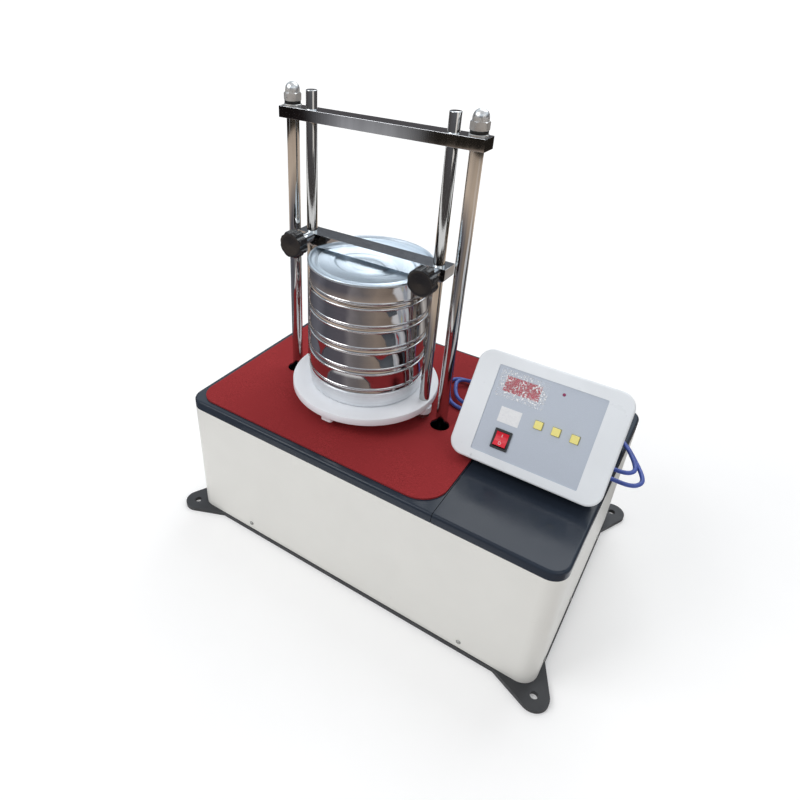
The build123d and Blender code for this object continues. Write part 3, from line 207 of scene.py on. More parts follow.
def gloss_lacquer(name, colour):
    """Deep gloss lacquer with dust specks and fine swirls."""
    coat = Finish(name, colour, 0.16)
    coat.shader.inputs["Specular IOR Level"].default_value = 0.22
    coat.tint(coat.noise(5.0, 3.0), shade(colour, 1.2))
    specks = coat.noise(1400.0, 2.0)
    coat.tint(specks, (0.25, 0.26, 0.28), 0.76, 0.82)
    coat.gloss(coat.noise(14.0, 5.0, 0.65), 0.10, 0.26)
    coat.bump(coat.noise(220.0, 2.0), 0.05, 0.0004)
    return coat.material


def rubber_mat(name, colour):
    """Red granulated rubber with a felted, pitted surface."""
    mat = Finish(name, colour, 0.92)
    mat.shader.inputs["Specular IOR Level"].default_value = 0.25
    mat.tint(mat.noise(650.0, 5.0, 0.75), shade(colour, 0.45), 0.42, 0.62)
    granules = (colour[0] * 1.9, colour[1] * 2.6, colour[2] * 2.4)
    mat.tint(mat.noise(900.0, 3.0, 0.7), granules, 0.58, 0.72)
    mat.tint(mat.noise(12.0, 4.0), shade(colour, 0.8))
    mat.bump(mat.noise(700.0, 5.0, 0.75), 0.55, 0.0012)
    mat.bump(mat.noise(150.0, 2.0), 0.2, 0.001)
    return mat.material


def chrome_plate(name, colour, roughness=0.06, haze=0.10):
    """Bright plating on a ground bar, with faint streaks along it."""
    plate = Finish(name, colour, roughness, 1.0)
    streaks = plate.noise(40.0, 4.0, 0.6, (1, 1, 0.05))
    plate.tint(streaks, shade(colour, 0.82))
    plate.gloss(plate.noise(60.0, 5.0, 0.7, (1, 1, 0.1)), roughness, roughness + haze)
    plate.bump(plate.noise(900.0, 2.0, 0.5, (1, 1, 0.02)), 0.02, 0.0003)
    return plate.material


def turned_metal(name, colour, roughness, centre, lines=0.5, soil=0.8):
    """Spun or turned metal: rings about an upright axis, broken up by soft stains."""
    metal = Finish(name, colour, roughness, 1.0)
    centred = metal.add("ShaderNodeMapping")
    centred.inputs["Location"].default_value = (-centre[0], -centre[1], 0.0)
    metal.join(metal.place.outputs["Object"], centred.inputs["Vector"])
    apart = metal.add("ShaderNodeSeparateXYZ")
    metal.join(centred.outputs["Vector"], apart.inputs["Vector"])
    flat = metal.add("ShaderNodeCombineXYZ")
    metal.join(apart.outputs["X"], flat.inputs["X"])
    metal.join(apart.outputs["Y"], flat.inputs["Y"])
    rings_at = metal.add("ShaderNodeCombineXYZ")
    metal.join(metal.reach(flat.outputs["Vector"]), rings_at.inputs["X"])
    metal.join(apart.outputs["Z"], rings_at.inputs["Z"])
    rings = metal.add("ShaderNodeTexNoise")
    rings.inputs["Scale"].default_value = 1800.0
    rings.inputs["Detail"].default_value = 2.0
    metal.join(rings_at.outputs["Vector"], rings.inputs["Vector"])
    metal.tint(rings.outputs["Fac"], shade(colour, 0.85))
    metal.tint(metal.noise(22.0, 4.0), shade(colour, soil))
    metal.gloss(rings.outputs["Fac"], roughness * 0.7, roughness * 1.4)
    metal.bump(rings.outputs["Fac"], 0.04 * lines, 0.0003)
    return metal.material


def ground_metal(name, colour, roughness):
    """Plain machined or plated steel with short random scratches."""
    metal = Finish(name, colour, roughness, 1.0)
    metal.tint(metal.noise(35.0, 5.0, 0.6), shade(colour, 0.7))
    metal.gloss(metal.noise(200.0, 4.0, 0.7, (1, 0.15, 1)), roughness * 0.7, roughness * 1.4)
    metal.bump(metal.noise(1200.0, 2.0, 0.5, (1, 0.1, 1)), 0.08, 0.0003)
    return metal.material


def moulded_plastic(name, colour, roughness, grain=1500.0, depth=0.08):
    """Injection-moulded plastic with a spark-eroded grain and slight sink."""
    plastic = Finish(name, colour, roughness)
    plastic.tint(plastic.noise(8.0, 3.0), shade(colour, 0.94))
    plastic.gloss(plastic.noise(40.0, 4.0), roughness - 0.05, roughness + 0.08)
    plastic.bump(plastic.noise(grain, 2.0), depth, 0.0003)
    return plastic.material


# Scale of Blender's wave texture that gives one band per unit of length
ONE_BAND = 0.314
# Near-black painted into the openings between the wires: painted shade
GAP_PAINTED_SHADE = (0.03, 0.03, 0.03)


def woven_wire(name, colour, pitch):
    """Plain-woven wire cloth: two wave patterns across each other over openings between the wires,
    painted near-black as painted shade.
    """
    cloth = Finish(name, colour, 0.35, 1.0)
    heights = []
    for direction in ("X", "Y"):
        wave = cloth.add("ShaderNodeTexWave", wave_type="BANDS", bands_direction=direction)
        wave.inputs["Scale"].default_value = ONE_BAND / pitch
        wave.inputs["Distortion"].default_value = 0.0
        cloth.join(cloth.place.outputs["Object"], wave.inputs["Vector"])
        heights.append(wave.outputs["Fac"])
    top = cloth.work_out("MAXIMUM", *heights)
    wires_over_painted_shade = cloth.mix(cloth.spread(top, 0.0, 1.0, 0.35, 0.7), GAP_PAINTED_SHADE, colour)
    cloth.join(wires_over_painted_shade, cloth.shader.inputs["Base Color"])
    cloth.bump(top, 0.6, 0.0004)
    return cloth.material


# Mesh helpers
SAME_POINT = 0.00001


def only(piece):
    """Leaves one piece selected and active."""
    bpy.ops.object.select_all(action="DESELECT")
    piece.select_set(True)
    bpy.context.view_layer.objects.active = piece


def bake_place(piece):
    """Puts a piece's place, turn and scale into its mesh."""
    only(piece)
    bpy.ops.object.transform_apply(location=True, rotation=True, scale=True)


def keep_flats(piece):
    """Gives a piece's wide faces their own true normals beside rounded edges."""
    only(piece)
    weigh = piece.modifiers.new("flats", "WEIGHTED_NORMAL")
    weigh.keep_sharp = True
    bpy.ops.object.modifier_apply(modifier=weigh.name)


def settle(name, material=None, angle=35.0):
    """Names the active piece, puts its place into its mesh and shades it."""
    piece = bpy.context.active_object
    piece.name = name
    piece.data.name = name
    bake_place(piece)
    bpy.ops.object.shade_smooth_by_angle(angle=math.radians(angle))
    if material:
        paint(piece, material)
    return piece


def paint(piece, material):
    """Gives a piece this one material."""
    piece.data.materials.clear()
    piece.data.materials.append(material)


def dress(material, *names):
    """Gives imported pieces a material."""
    for name in names:
        paint(nodes[name], material)


def turn_normals_out():
    """Joins the points that meet and faces the whole mesh outwards, in edit mode."""
    bpy.ops.mesh.select_all(action="SELECT")
    bpy.ops.mesh.remove_doubles(threshold=SAME_POINT)
    bpy.ops.mesh.normals_make_consistent(inside=False)


def turned(name, profile, centre, material, segments=128, angle=35.0, closed=False):
    """A ring drawn out into a turned shape: profile is (radius, height) pairs in millimetres."""
    x, y, base = centre
    radius, height = profile[0]
    bpy.ops.object.select_all(action="DESELECT")
    bpy.ops.mesh.primitive_circle_add(
        vertices=segments, radius=radius / 1000, location=(x, y, base + height / 1000)
    )
    bpy.ops.object.transform_apply(location=True)
    bpy.ops.object.mode_set(mode="EDIT")
    bpy.ops.mesh.select_mode(type="VERT")
    bpy.ops.mesh.select_all(action="SELECT")
    if not closed:
        bpy.ops.mesh.edge_face_add()
    for (before, low), (after, high) in zip(profile, profile[1:]):
        bpy.ops.mesh.extrude_region_move(
            TRANSFORM_OT_translate={"value": (0.0, 0.0, (high - low) / 1000)}
        )
        if before != after:
            factor = after / before
            bpy.ops.transform.resize(
                value=(factor, factor, 1.0), center_override=(x, y, base + high / 1000)
            )
    turn_normals_out()
    bpy.ops.object.mode_set(mode="OBJECT")
    return settle(name, material, angle)


def raw_box(centre, size):
    """A plain box about its centre."""
    bpy.ops.object.select_all(action="DESELECT")
    bpy.ops.mesh.primitive_cube_add(size=1.0, location=centre)
    piece = bpy.context.active_object
    piece.scale = size
    bake_place(piece)
    return piece


def block(name, low, high, material, bevel=0.0, segments=3):
    """A box between two corners, with rounded edges where a bevel is given."""
    low, high = Vector(low), Vector(high)
    raw_box((low + high) / 2, high - low)
    if bevel:
        bpy.ops.object.mode_set(mode="EDIT")
        bpy.ops.mesh.select_all(action="SELECT")
        bpy.ops.mesh.bevel(offset=bevel, segments=segments, affect="EDGES")
        bpy.ops.object.mode_set(mode="OBJECT")
    piece = settle(name, material)
    keep_flats(piece)
    return piece


def cut_away(piece, cutters, operation="DIFFERENCE"):
    """Cuts a piece with others, or keeps what they share, and then takes them away."""
    for cutter in cutters:
        only(piece)
        cut = piece.modifiers.new("cut", "BOOLEAN")
        cut.operation = operation
        cut.solver = "EXACT"
        cut.object = cutter
        bpy.ops.object.modifier_apply(modifier=cut.name)
        bpy.data.objects.remove(cutter, do_unlink=True)


def soften(piece, width, segments=2, limit=30.0):
    """Rounds the edges that are sharper than the limit."""
    only(piece)
    rounding = piece.modifiers.new("rounding", "BEVEL")
    rounding.width = width
    rounding.segments = segments
    rounding.limit_method = "ANGLE"
    rounding.angle_limit = math.radians(limit)
    bpy.ops.object.modifier_apply(modifier=rounding.name)
    bpy.ops.object.shade_smooth_by_angle(angle=math.radians(limit + 5))
    keep_flats(piece)


def upright(radius, height, centre, sides=64):
    """A plain upright cylinder or prism about its centre, as a cutter."""
    bpy.ops.object.select_all(action="DESELECT")
    bpy.ops.mesh.primitive_cylinder_add(
        vertices=sides, radius=radius, depth=height, location=centre
    )
    piece = bpy.context.active_object
    bake_place(piece)
    return piece


def face_front(piece, x, y, z):
    """Lays a piece drawn upright at the origin so that its top faces the front, at a place."""
    piece.matrix_world = Matrix.Translation((x, y, z)) @ Matrix.Rotation(math.radians(90), 4, "X")
    bake_place(piece)


def on_box(u, v, w):
    """Point of the control box's own plane: right, up and out, in millimetres."""
    return BOX_ORIGIN + BOX_RIGHT * u / 1000 + BOX_UP * v / 1000 + BOX_OUT * w / 1000


def lay_on_box(piece, u, v, w):
    """Turns a piece drawn flat at the origin onto the control box's face."""
    turn = Matrix((BOX_RIGHT, BOX_UP, BOX_OUT)).transposed().to_4x4()
    piece.matrix_world = Matrix.Translation(on_box(u, v, w)) @ turn
    bake_place(piece)


# Settings in the sidebar
def length(label, words, metres):
    """A setting in metres."""
    return bpy.props.FloatProperty(
        name=label, description=words, default=metres, min=0.0, unit="LENGTH"
    )


def tone(label, words, colour):
    """A colour setting."""
    return bpy.props.FloatVectorProperty(
        name=label, description=words, default=colour, size=3, min=0.0, max=1.0, subtype="COLOR"
    )


class ShakerSizes(bpy.types.PropertyGroup):
    """Sizes of the dressed pieces"""

    lead_diameter: length("Lead diameter", "Outside diameter of the mains lead", 0.007)
    edge_round: length("Bar edges", "Rounding of the ground bars' edges", 0.0005)
    wire_pitch: length("Wire pitch", "Distance between the wires of the sieve cloth", 0.0012)


class ShakerColours(bpy.types.PropertyGroup):
    """Colours of the finishes"""

    housing: tone("Housing", "Cream paint of the housing", (0.80, 0.79, 0.75))
    covers: tone("Covers", "Blue-black lacquer of the covers", (0.020, 0.027, 0.040))
    base: tone("Base", "Charcoal paint of the base plate and bracket", (0.030, 0.031, 0.034))
    mat: tone("Mat", "Red of the rubber mat", (0.37, 0.030, 0.034))
    table: tone("Table", "White paint of the sieve table", (0.87, 0.89, 0.93))
    lead: tone("Lead", "Blue of the mains lead", (0.075, 0.13, 0.50))
    panel: tone("Panel", "Blue-grey of the control panel", (0.51, 0.56, 0.64))
    buttons: tone("Buttons", "Yellow of the push buttons", (0.92, 0.82, 0.27))
    rocker: tone("Rocker", "Red of the mains switch", (0.72, 0.02, 0.04))


# The stage
FLOOR_SIZE = 200.0
FLOOR_DROP = 0.0002
FLOOR_GLOW = (0.14, 0.60)
FLOOR_GLOW_REACH = (1.3, 4.5)


def seen_rays(tree):
    """1 on camera, glossy and transmission rays, 0 on the rays that light the object."""
    rays = tree.nodes.new("ShaderNodeLightPath")
    total = rays.outputs["Is Camera Ray"]
    for name in ("Is Glossy Ray", "Is Transmission Ray"):
        more = tree.nodes.new("ShaderNodeMath")
        more.operation = "MAXIMUM"
        tree.links.new(total, more.inputs[0])
        tree.links.new(rays.outputs[name], more.inputs[1])
        total = more.outputs[0]
    return total


def lay_floor():
    """A wide pale floor that stays even towards its far side."""
    bpy.ops.object.select_all(action="DESELECT")
    bpy.ops.mesh.primitive_plane_add(size=FLOOR_SIZE, location=(0.0, 0.0, -FLOOR_DROP))
    floor = settle("studio_floor")
    paper = Finish("floor_paper", (0.92, 0.92, 0.92), 0.8)
    paper.tint(paper.noise(3.0, 3.0), (0.905, 0.905, 0.905))
    paper.shader.inputs["Specular IOR Level"].default_value = 0.05
    reach = paper.reach(paper.place.outputs["Object"])
    far = paper.spread(reach, *FLOOR_GLOW, *FLOOR_GLOW_REACH)
    glow = paper.work_out("MULTIPLY", seen_rays(paper.tree), far)
    paper.shader.inputs["Emission Color"].default_value = (1.0, 1.0, 1.0, 1.0)
    paper.join(glow, paper.shader.inputs["Emission Strength"])
    paint(floor, paper.material)


# The card in metres: its size, its rise off the floor, where it fades in and where fields change
CARD_SIZE = 12.0
CARD_RISE = 0.0006
CARD_START = (0.50, 0.56)
CARD_WARM = (1.15, 1.8)
CARD_DISTANT = (3.0, 3.15)
WARM_FIELD = (0.88, 0.70, 0.55)
WARM_SHARE = 0.78
FIELD_WANDER = 0.025

# Fields by direction from the stack: 0 and 1 face away from the camera, 0.5 faces it
NEAR_FIELDS = (
    (0.00, (0.26, 0.25, 0.25)), (0.08, (0.06, 0.06, 0.07)), (0.19, (0.18, 0.18, 0.21)),
    (0.26, (0.11, 0.11, 0.13)), (0.36, (0.14, 0.13, 0.15)), (0.40, (0.27, 0.25, 0.26)),
    (0.46, (0.21, 0.19, 0.19)), (0.54, (0.36, 0.29, 0.24)), (0.63, (0.28, 0.22, 0.18)),
    (0.65, (0.86, 0.86, 0.88)), (0.71, (0.80, 0.80, 0.84)), (0.73, (0.02, 0.02, 0.02)),
    (0.80, (0.08, 0.07, 0.07)), (0.84, (0.70, 0.66, 0.62)), (0.89, (0.05, 0.04, 0.04)),
    (1.00, (0.26, 0.25, 0.25)),
)
FAR_FIELDS = (
    (0.000, (0.02, 0.015, 0.015)), (0.306, (0.02, 0.015, 0.015)), (0.316, (0.60, 0.60, 0.62)),
    (0.334, (0.52, 0.52, 0.53)), (0.344, (0.03, 0.025, 0.02)), (1.000, (0.03, 0.025, 0.02)),
)


def lay_skirt():
    """A card round the object that only its metal mirrors: warm and dark fields in streaks."""
    bpy.ops.object.select_all(action="DESELECT")
    bpy.ops.mesh.primitive_plane_add(size=CARD_SIZE, location=(STACK.x, STACK.y, CARD_RISE))
    card = bpy.context.active_object
    card.name = "studio_card"
    card.visible_camera = False
    card.visible_diffuse = False
    card.visible_shadow = False
    cloth = Finish("card_cloth", (0.4, 0.33, 0.27), 1.0)
    cloth.shader.inputs["Specular IOR Level"].default_value = 0.0
    faced = cloth.add("ShaderNodeMapping")
    faced.inputs["Rotation"].default_value = (0.0, 0.0, -CAMERA_SIDE)
    cloth.join(cloth.place.outputs["Object"], faced.inputs["Vector"])
    apart = cloth.add("ShaderNodeSeparateXYZ")
    cloth.join(faced.outputs["Vector"], apart.inputs["Vector"])
    angle = cloth.work_out("ARCTAN2", apart.outputs["Y"], apart.outputs["X"])
    turn = cloth.spread(angle, 0.0, 1.0, -math.pi, math.pi)
    wander = cloth.spread(cloth.noise(1.4, 3.0), -FIELD_WANDER, FIELD_WANDER)
    near = cloth.ramp(cloth.work_out("ADD", turn, wander), NEAR_FIELDS)
    far = cloth.ramp(turn, FAR_FIELDS)
    reach = cloth.reach(cloth.place.outputs["Object"])
    warm = cloth.spread(reach, 0.0, WARM_SHARE, *CARD_WARM)
    lighter = cloth.mix(warm, near, WARM_FIELD)
    distant = cloth.mix(cloth.spread(reach, 0.0, 1.0, *CARD_DISTANT), lighter, far)
    cloth.join(distant, cloth.shader.inputs["Base Color"])
    clear = cloth.add("ShaderNodeBsdfTransparent")
    cover = cloth.add("ShaderNodeMixShader")
    cloth.join(cloth.spread(reach, 0.0, 1.0, *CARD_START), cover.inputs["Fac"])
    cloth.join(clear.outputs["BSDF"], cover.inputs[1])
    cloth.join(cloth.shader.outputs["BSDF"], cover.inputs[2])
    cloth.join(cover.outputs["Shader"], cloth.tree.nodes["Material Output"].inputs["Surface"])
    paint(card, cloth.material)


# What metal mirrors above the card, by height: a dim room, a bright band, a soft ceiling
ROOM_STOPS = (
    (0.00, (0.07, 0.06, 0.06)), (0.30, (0.12, 0.12, 0.13)), (0.42, (0.22, 0.24, 0.27)),
    (0.48, (1.25, 1.42, 1.58)), (0.62, (1.15, 1.30, 1.44)), (0.72, (0.55, 0.58, 0.62)),
    (1.00, (0.70, 0.72, 0.76)),
)
SOFT_LIGHT = (0.90, 0.91, 0.93, 1.0)
SOFT_STRENGTH = 0.58


def light_room(scene):
    """Even soft light, a room that only mirrored rays see, and white behind the object."""
    world = bpy.data.worlds.new("studio_world")
    world.use_nodes = True
    scene.world = world
    tree = world.node_tree
    tree.nodes.clear()
    out = tree.nodes.new("ShaderNodeOutputWorld")
    soft = tree.nodes.new("ShaderNodeBackground")
    soft.inputs["Color"].default_value = SOFT_LIGHT
    soft.inputs["Strength"].default_value = SOFT_STRENGTH
    room = tree.nodes.new("ShaderNodeBackground")
    room.inputs["Strength"].default_value = 1.0
    where = tree.nodes.new("ShaderNodeTexCoord")
    apart = tree.nodes.new("ShaderNodeSeparateXYZ")
    tree.links.new(where.outputs["Generated"], apart.inputs["Vector"])
    ceiling = tree.nodes.new("ShaderNodeValToRGB")
    set_stops(ceiling.color_ramp, ROOM_STOPS)
    tree.links.new(apart.outputs["Z"], ceiling.inputs["Fac"])
    tree.links.new(ceiling.outputs["Color"], room.inputs["Color"])
    seen = tree.nodes.new("ShaderNodeMixShader")
    tree.links.new(seen_rays(tree), seen.inputs["Fac"])
    tree.links.new(soft.outputs["Background"], seen.inputs[1])
    tree.links.new(room.outputs["Background"], seen.inputs[2])
    backdrop = tree.nodes.new("ShaderNodeBackground")
    backdrop.inputs["Color"].default_value = (1.0, 1.0, 1.0, 1.0)
    rays = tree.nodes.new("ShaderNodeLightPath")
    shown = tree.nodes.new("ShaderNodeMixShader")
    tree.links.new(rays.outputs["Is Camera Ray"], shown.inputs["Fac"])
    tree.links.new(seen.outputs["Shader"], shown.inputs[1])
    tree.links.new(backdrop.outputs["Background"], shown.inputs[2])
    tree.links.new(shown.outputs["Shader"], out.inputs["Surface"])


# Area lamps: place, size in metres, power in watts and colour
LAMPS = (
    ("key", (-1.6, -1.9, 2.6), 1.8, 40.0, (1.0, 1.0, 1.0)),
    ("fill", (2.4, -1.0, 1.9), 1.6, 7.0, (1.0, 0.95, 0.90)),
    ("top", (0.0, 1.6, 2.8), 2.0, 34.0, (0.97, 0.99, 1.0)),
)
LAMP_AIM = Vector((0.0, 0.0, 0.3))


class SHAKER_OT_stage(bpy.types.Operator):
    """Sets up the camera, the pale floor and the soft studio light"""

    bl_idname = "shaker.stage"
    bl_label = "Stage"

    def execute(self, context):
        scene = context.scene
        scene.view_settings.view_transform = "Standard"
        ahead = Vector((
            math.sin(CAMERA_YAW) * math.cos(CAMERA_PITCH),
            math.cos(CAMERA_YAW) * math.cos(CAMERA_PITCH),
            -math.sin(CAMERA_PITCH),
        ))
        level = Vector((math.cos(CAMERA_YAW), -math.sin(CAMERA_YAW), 0.0))
        above = level.cross(ahead)
        right = math.cos(CAMERA_ROLL) * level + math.sin(CAMERA_ROLL) * above
        up = -math.sin(CAMERA_ROLL) * level + math.cos(CAMERA_ROLL) * above
        data = bpy.data.cameras.new("studio_camera")
        data.sensor_width = 36.0
        data.lens = CAMERA_LENS
        data.shift_x, data.shift_y = CAMERA_SHIFT
        data.clip_start, data.clip_end = CAMERA_CLIP
        camera = bpy.data.objects.new("studio_camera", data)
        scene.collection.objects.link(camera)
        turn = Matrix((right, up, -ahead)).transposed().to_4x4()
        camera.matrix_world = Matrix.Translation(CAMERA_PLACE) @ turn
        scene.camera = camera

        lay_floor()
        lay_skirt()
        light_room(scene)
        for name, place, size, power, colour in LAMPS:
            lamp = bpy.data.lights.new("studio_" + name, "AREA")
            lamp.size = size
            lamp.energy = power
            lamp.color = colour
            holder = bpy.data.objects.new("studio_" + name, lamp)
            scene.collection.objects.link(holder)
            holder.location = place
            aim = LAMP_AIM - Vector(place)
            holder.rotation_euler = aim.to_track_quat("-Z", "Y").to_euler()
        return {"FINISHED"}


# The pieces
# Route of the mains lead in metres: gland, drop to the cover, loose turns, tail to the plug
LEAD_ROUTE = (
    (0.303, -0.0045, 0.2901), (0.303, 0.0050, 0.2836), (0.304, 0.0172, 0.2762),
    (0.310, 0.0330, 0.2740), (0.326, 0.0500, 0.2740), (0.340, 0.0720, 0.2740),
    (0.331, 0.0960, 0.2740), (0.290, 0.1080, 0.2740), (0.200, 0.1140, 0.2740),
    (0.110, 0.1130, 0.2740), (0.060, 0.1150, 0.2740), (0.034, 0.1140, 0.2735),
    (0.020, 0.1020, 0.2715), (0.023, 0.0840, 0.2710), (0.036, 0.0600, 0.2710),
    (0.050, 0.0360, 0.2710), (0.075, 0.0270, 0.2710), (0.150, 0.0290, 0.2720),
    (0.230, 0.0230, 0.2720), (0.310, 0.0030, 0.2715), (0.352, -0.0010, 0.2710),
    (0.380, 0.0000, 0.2710), (0.392, 0.0160, 0.2710), (0.388, 0.0360, 0.2710),
    (0.366, 0.0720, 0.2720), (0.345, 0.1010, 0.2740), (0.300, 0.1190, 0.2740),
    (0.200, 0.1220, 0.2740), (0.100, 0.1180, 0.2740), (0.050, 0.1100, 0.2790),
    (0.034, 0.0960, 0.2790), (0.044, 0.0700, 0.2760), (0.060, 0.0460, 0.2760),
    (0.090, 0.0400, 0.2740), (0.150, 0.0420, 0.2730), (0.230, 0.0420, 0.2730),
    (0.310, 0.0240, 0.2740), (0.360, 0.0180, 0.2750), (0.377, 0.0300, 0.2760),
    (0.372, 0.0520, 0.2760), (0.352, 0.0840, 0.2790), (0.328, 0.1080, 0.2800),
    (0.300, 0.1260, 0.2790), (0.276, 0.1370, 0.2770), (0.253, 0.1460, 0.2780),
    (0.234, 0.1500, 0.2780),
)


class SHAKER_OT_lead(bpy.types.Operator):
    """Lays the mains lead from its gland over the covers to its plug"""

    bl_idname = "shaker.lead"
    bl_label = "Mains lead"

    def execute(self, context):
        sizes = context.scene.shaker_sizes
        colours = context.scene.shaker_colours
        curve = bpy.data.curves.new("mains_lead", "CURVE")
        curve.dimensions = "3D"
        spline = curve.splines.new("NURBS")
        spline.points.add(len(LEAD_ROUTE) - 1)
        for point, place in zip(spline.points, LEAD_ROUTE):
            point.co = (*place, 1.0)
            # The points carry the thickness, as a curve's measured box grows by their radius
            point.radius = sizes.lead_diameter / 2
        spline.order_u = 3
        spline.use_endpoint_u = True
        spline.resolution_u = 8
        curve.bevel_depth = 1.0
        curve.bevel_resolution = 5
        curve.use_fill_caps = True
        lead = bpy.data.objects.new("mains_lead", curve)
        context.scene.collection.objects.link(lead)
        sheath = Finish("lead_sheath", tuple(colours.lead), 0.38)
        sheath.tint(sheath.noise(60.0, 4.0), shade(tuple(colours.lead), 0.75))
        sheath.bump(sheath.noise(900.0, 2.0), 0.1, 0.0002)
        curve.materials.append(sheath.material)
        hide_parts("cord_lead", "cord_coil", "cord_tail")
        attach(lead, "base")
        measure = lead_length(lead)
        print("lead length", round(measure, 4))
        black = moulded_plastic("moulded_black", (0.022, 0.022, 0.024), 0.42)
        dress(black, "plug", "cable_gland")
        return {"FINISHED"}


def lead_length(lead):
    """Length of the curve's own line."""
    bevel = lead.data.bevel_depth
    lead.data.bevel_depth = 0.0
    line = bpy.data.meshes.new_from_object(lead)
    lead.data.bevel_depth = bevel
    total = sum(
        (line.vertices[a].co - line.vertices[b].co).length
        for a, b in (edge.vertices for edge in line.edges)
    )
    bpy.data.meshes.remove(line)
    return total


class SHAKER_OT_base(bpy.types.Operator):
    """Finishes the base plate, housing, covers and mat"""

    bl_idname = "shaker.base"
    bl_label = "Base and housing"

    def execute(self, context):
        colours = context.scene.shaker_colours
        dress(powder_coat("cream_paint", tuple(colours.housing), 0.38), "housing_shell")
        charcoal = powder_coat("charcoal_paint", tuple(colours.base), 0.5, 500.0)
        dress(charcoal, "base_plate", "box_bracket")
        lacquer = gloss_lacquer("blue_black_lacquer", tuple(colours.covers))
        dress(lacquer, "cover_left", "cover_right")
        dress(rubber_mat("red_rubber", tuple(colours.mat)), "mat")
        zinc = ground_metal("zinc_plate", (0.42, 0.42, 0.40), 0.35)
        dress(zinc, "small_screws", "table_fasteners", "column_nuts")
        return {"FINISHED"}


class SHAKER_OT_drive(bpy.types.Operator):
    """Finishes the drive that works under the covers"""

    bl_idname = "shaker.drive"
    bl_label = "Drive"

    def execute(self, context):
        castings = powder_coat("casting_paint", (0.20, 0.23, 0.25), 0.55, 300.0)
        dress(castings, "motor_body", "gearbox", "bearing_posts", "crank_pulley")
        steel = ground_metal("machined_steel", (0.46, 0.46, 0.47), 0.3)
        dress(
            steel, "crank_shaft", "idler_crank_front", "idler_crank_rear", "motor_spindle",
            "tapping_cam", "carriage_plate", "tappet_guide", "tappet_shaft",
        )
        dress(ground_metal("bearing_bronze", (0.62, 0.38, 0.16), 0.35), "crank_bushes")
        belt = moulded_plastic("belt_rubber", (0.02, 0.02, 0.02), 0.8, 500.0, 0.3)
        dress(belt, "drive_belt")
        return {"FINISHED"}


# Turned profiles, here and below, are (radius, height) pairs in millimetres
SIEVE_COUNT = 5
SIEVE_PROFILE = (
    (98.9, -9.0), (99.7, -9.0), (99.7, -0.3), (101.0, 0.0), (101.0, 1.2), (100.5, 3.0),
    (100.3, 4.6), (100.5, 6.2), (101.3, 7.3), (102.3, 7.9), (102.8, 8.7), (102.8, 9.5),
    (102.3, 10.3), (101.6, 10.9), (101.5, 12.0), (101.5, 23.0), (101.5, 34.8), (101.7, 36.0),
    (102.5, 36.7), (103.1, 37.5), (103.2, 38.4), (102.8, 39.2), (102.0, 39.7), (101.1, 39.7),
    (100.5, 39.2), (100.3, 38.3), (100.5, 36.5), (100.5, 24.0), (100.5, 11.0), (98.9, 9.0),
    (98.9, -9.0),
)
PAN_PROFILE = (
    (1.0, 0.0), (60.0, 0.0), (96.5, 0.0), (98.4, 0.7), (99.6, 2.2), (100.2, 5.0), (101.4, 23.8),
    (101.7, 25.2), (102.5, 26.0), (103.0, 27.2), (103.0, 28.4), (102.4, 29.2), (101.6, 29.4),
    (100.8, 29.4), (100.3, 28.8), (100.2, 27.0), (98.9, 6.0), (98.0, 2.6), (96.0, 1.3),
    (60.0, 1.2), (1.0, 1.2),
)
LID_PROFILE = (
    (1.0, -4.2), (38.0, -4.2), (40.0, -5.4), (58.0, -5.4), (61.0, -3.6), (92.0, -3.6),
    (98.6, -1.2), (98.9, -8.0), (99.7, -8.0), (99.7, -0.2), (103.2, -0.1), (103.6, -1.6),
    (104.2, -2.6), (105.0, -2.3), (105.2, -1.4), (105.2, 0.2), (104.9, 1.2), (104.2, 1.9),
    (103.2, 2.1), (101.6, 2.1), (100.8, 1.6), (99.6, -0.2), (97.8, -1.6), (94.5, -2.3),
    (90.0, -2.3), (88.8, -1.7), (87.6, -1.7), (86.4, -2.3), (62.5, -2.3), (60.5, -2.6),
    (58.5, -3.6), (56.5, -4.1), (43.0, -4.1), (41.5, -3.9), (39.5, -3.1), (37.5, -2.8),
    (20.0, -2.8), (1.0, -2.8),
)
CLOTH_PROFILE = ((2.0, 9.3), (98.0, 9.3), (99.6, 9.6), (99.6, 10.0), (2.0, 9.9))


class SHAKER_OT_stack(bpy.types.Operator):
    """Turns the pan, the nested sieves with their cloths, and the lid"""

    bl_idname = "shaker.stack"
    bl_label = "Sieve stack"

    def execute(self, context):
        sizes = context.scene.shaker_sizes
        steel = turned_metal("mirror_stainless", (0.60, 0.59, 0.59), 0.06, STACK, 0.5, 0.92)
        pan_steel = turned_metal("pan_steel", (0.90, 0.92, 0.94), 0.42, STACK, 1.0, 0.85)
        lid_steel = turned_metal("lid_steel", (0.66, 0.74, 0.81), 0.38, STACK, 1.0, 0.88)
        cloth = woven_wire("wire_cloth", (0.62, 0.61, 0.58), sizes.wire_pitch)
        pan = turned("receiver_pan", PAN_PROFILE, (STACK.x, STACK.y, PAN_BASE), pan_steel)
        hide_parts("pan")
        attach(pan, "pan")
        for level in range(SIEVE_COUNT):
            base = PAN_RIM + level * SIEVE_PITCH
            number = str(level + 1)
            sieve = turned(
                "test_sieve_" + number, SIEVE_PROFILE, (STACK.x, STACK.y, base), steel, closed=True
            )
            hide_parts("sieve_" + number)
            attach(sieve, "sieve_" + number)
            disc = turned("cloth_" + number, CLOTH_PROFILE, (STACK.x, STACK.y, base), cloth)
            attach(disc, "sieve_" + number)
        lid = turned("stack_lid", LID_PROFILE, (STACK.x, STACK.y, STACK_TOP), lid_steel)
        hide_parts("lid")
        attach(lid, "lid")
        return {"FINISHED"}


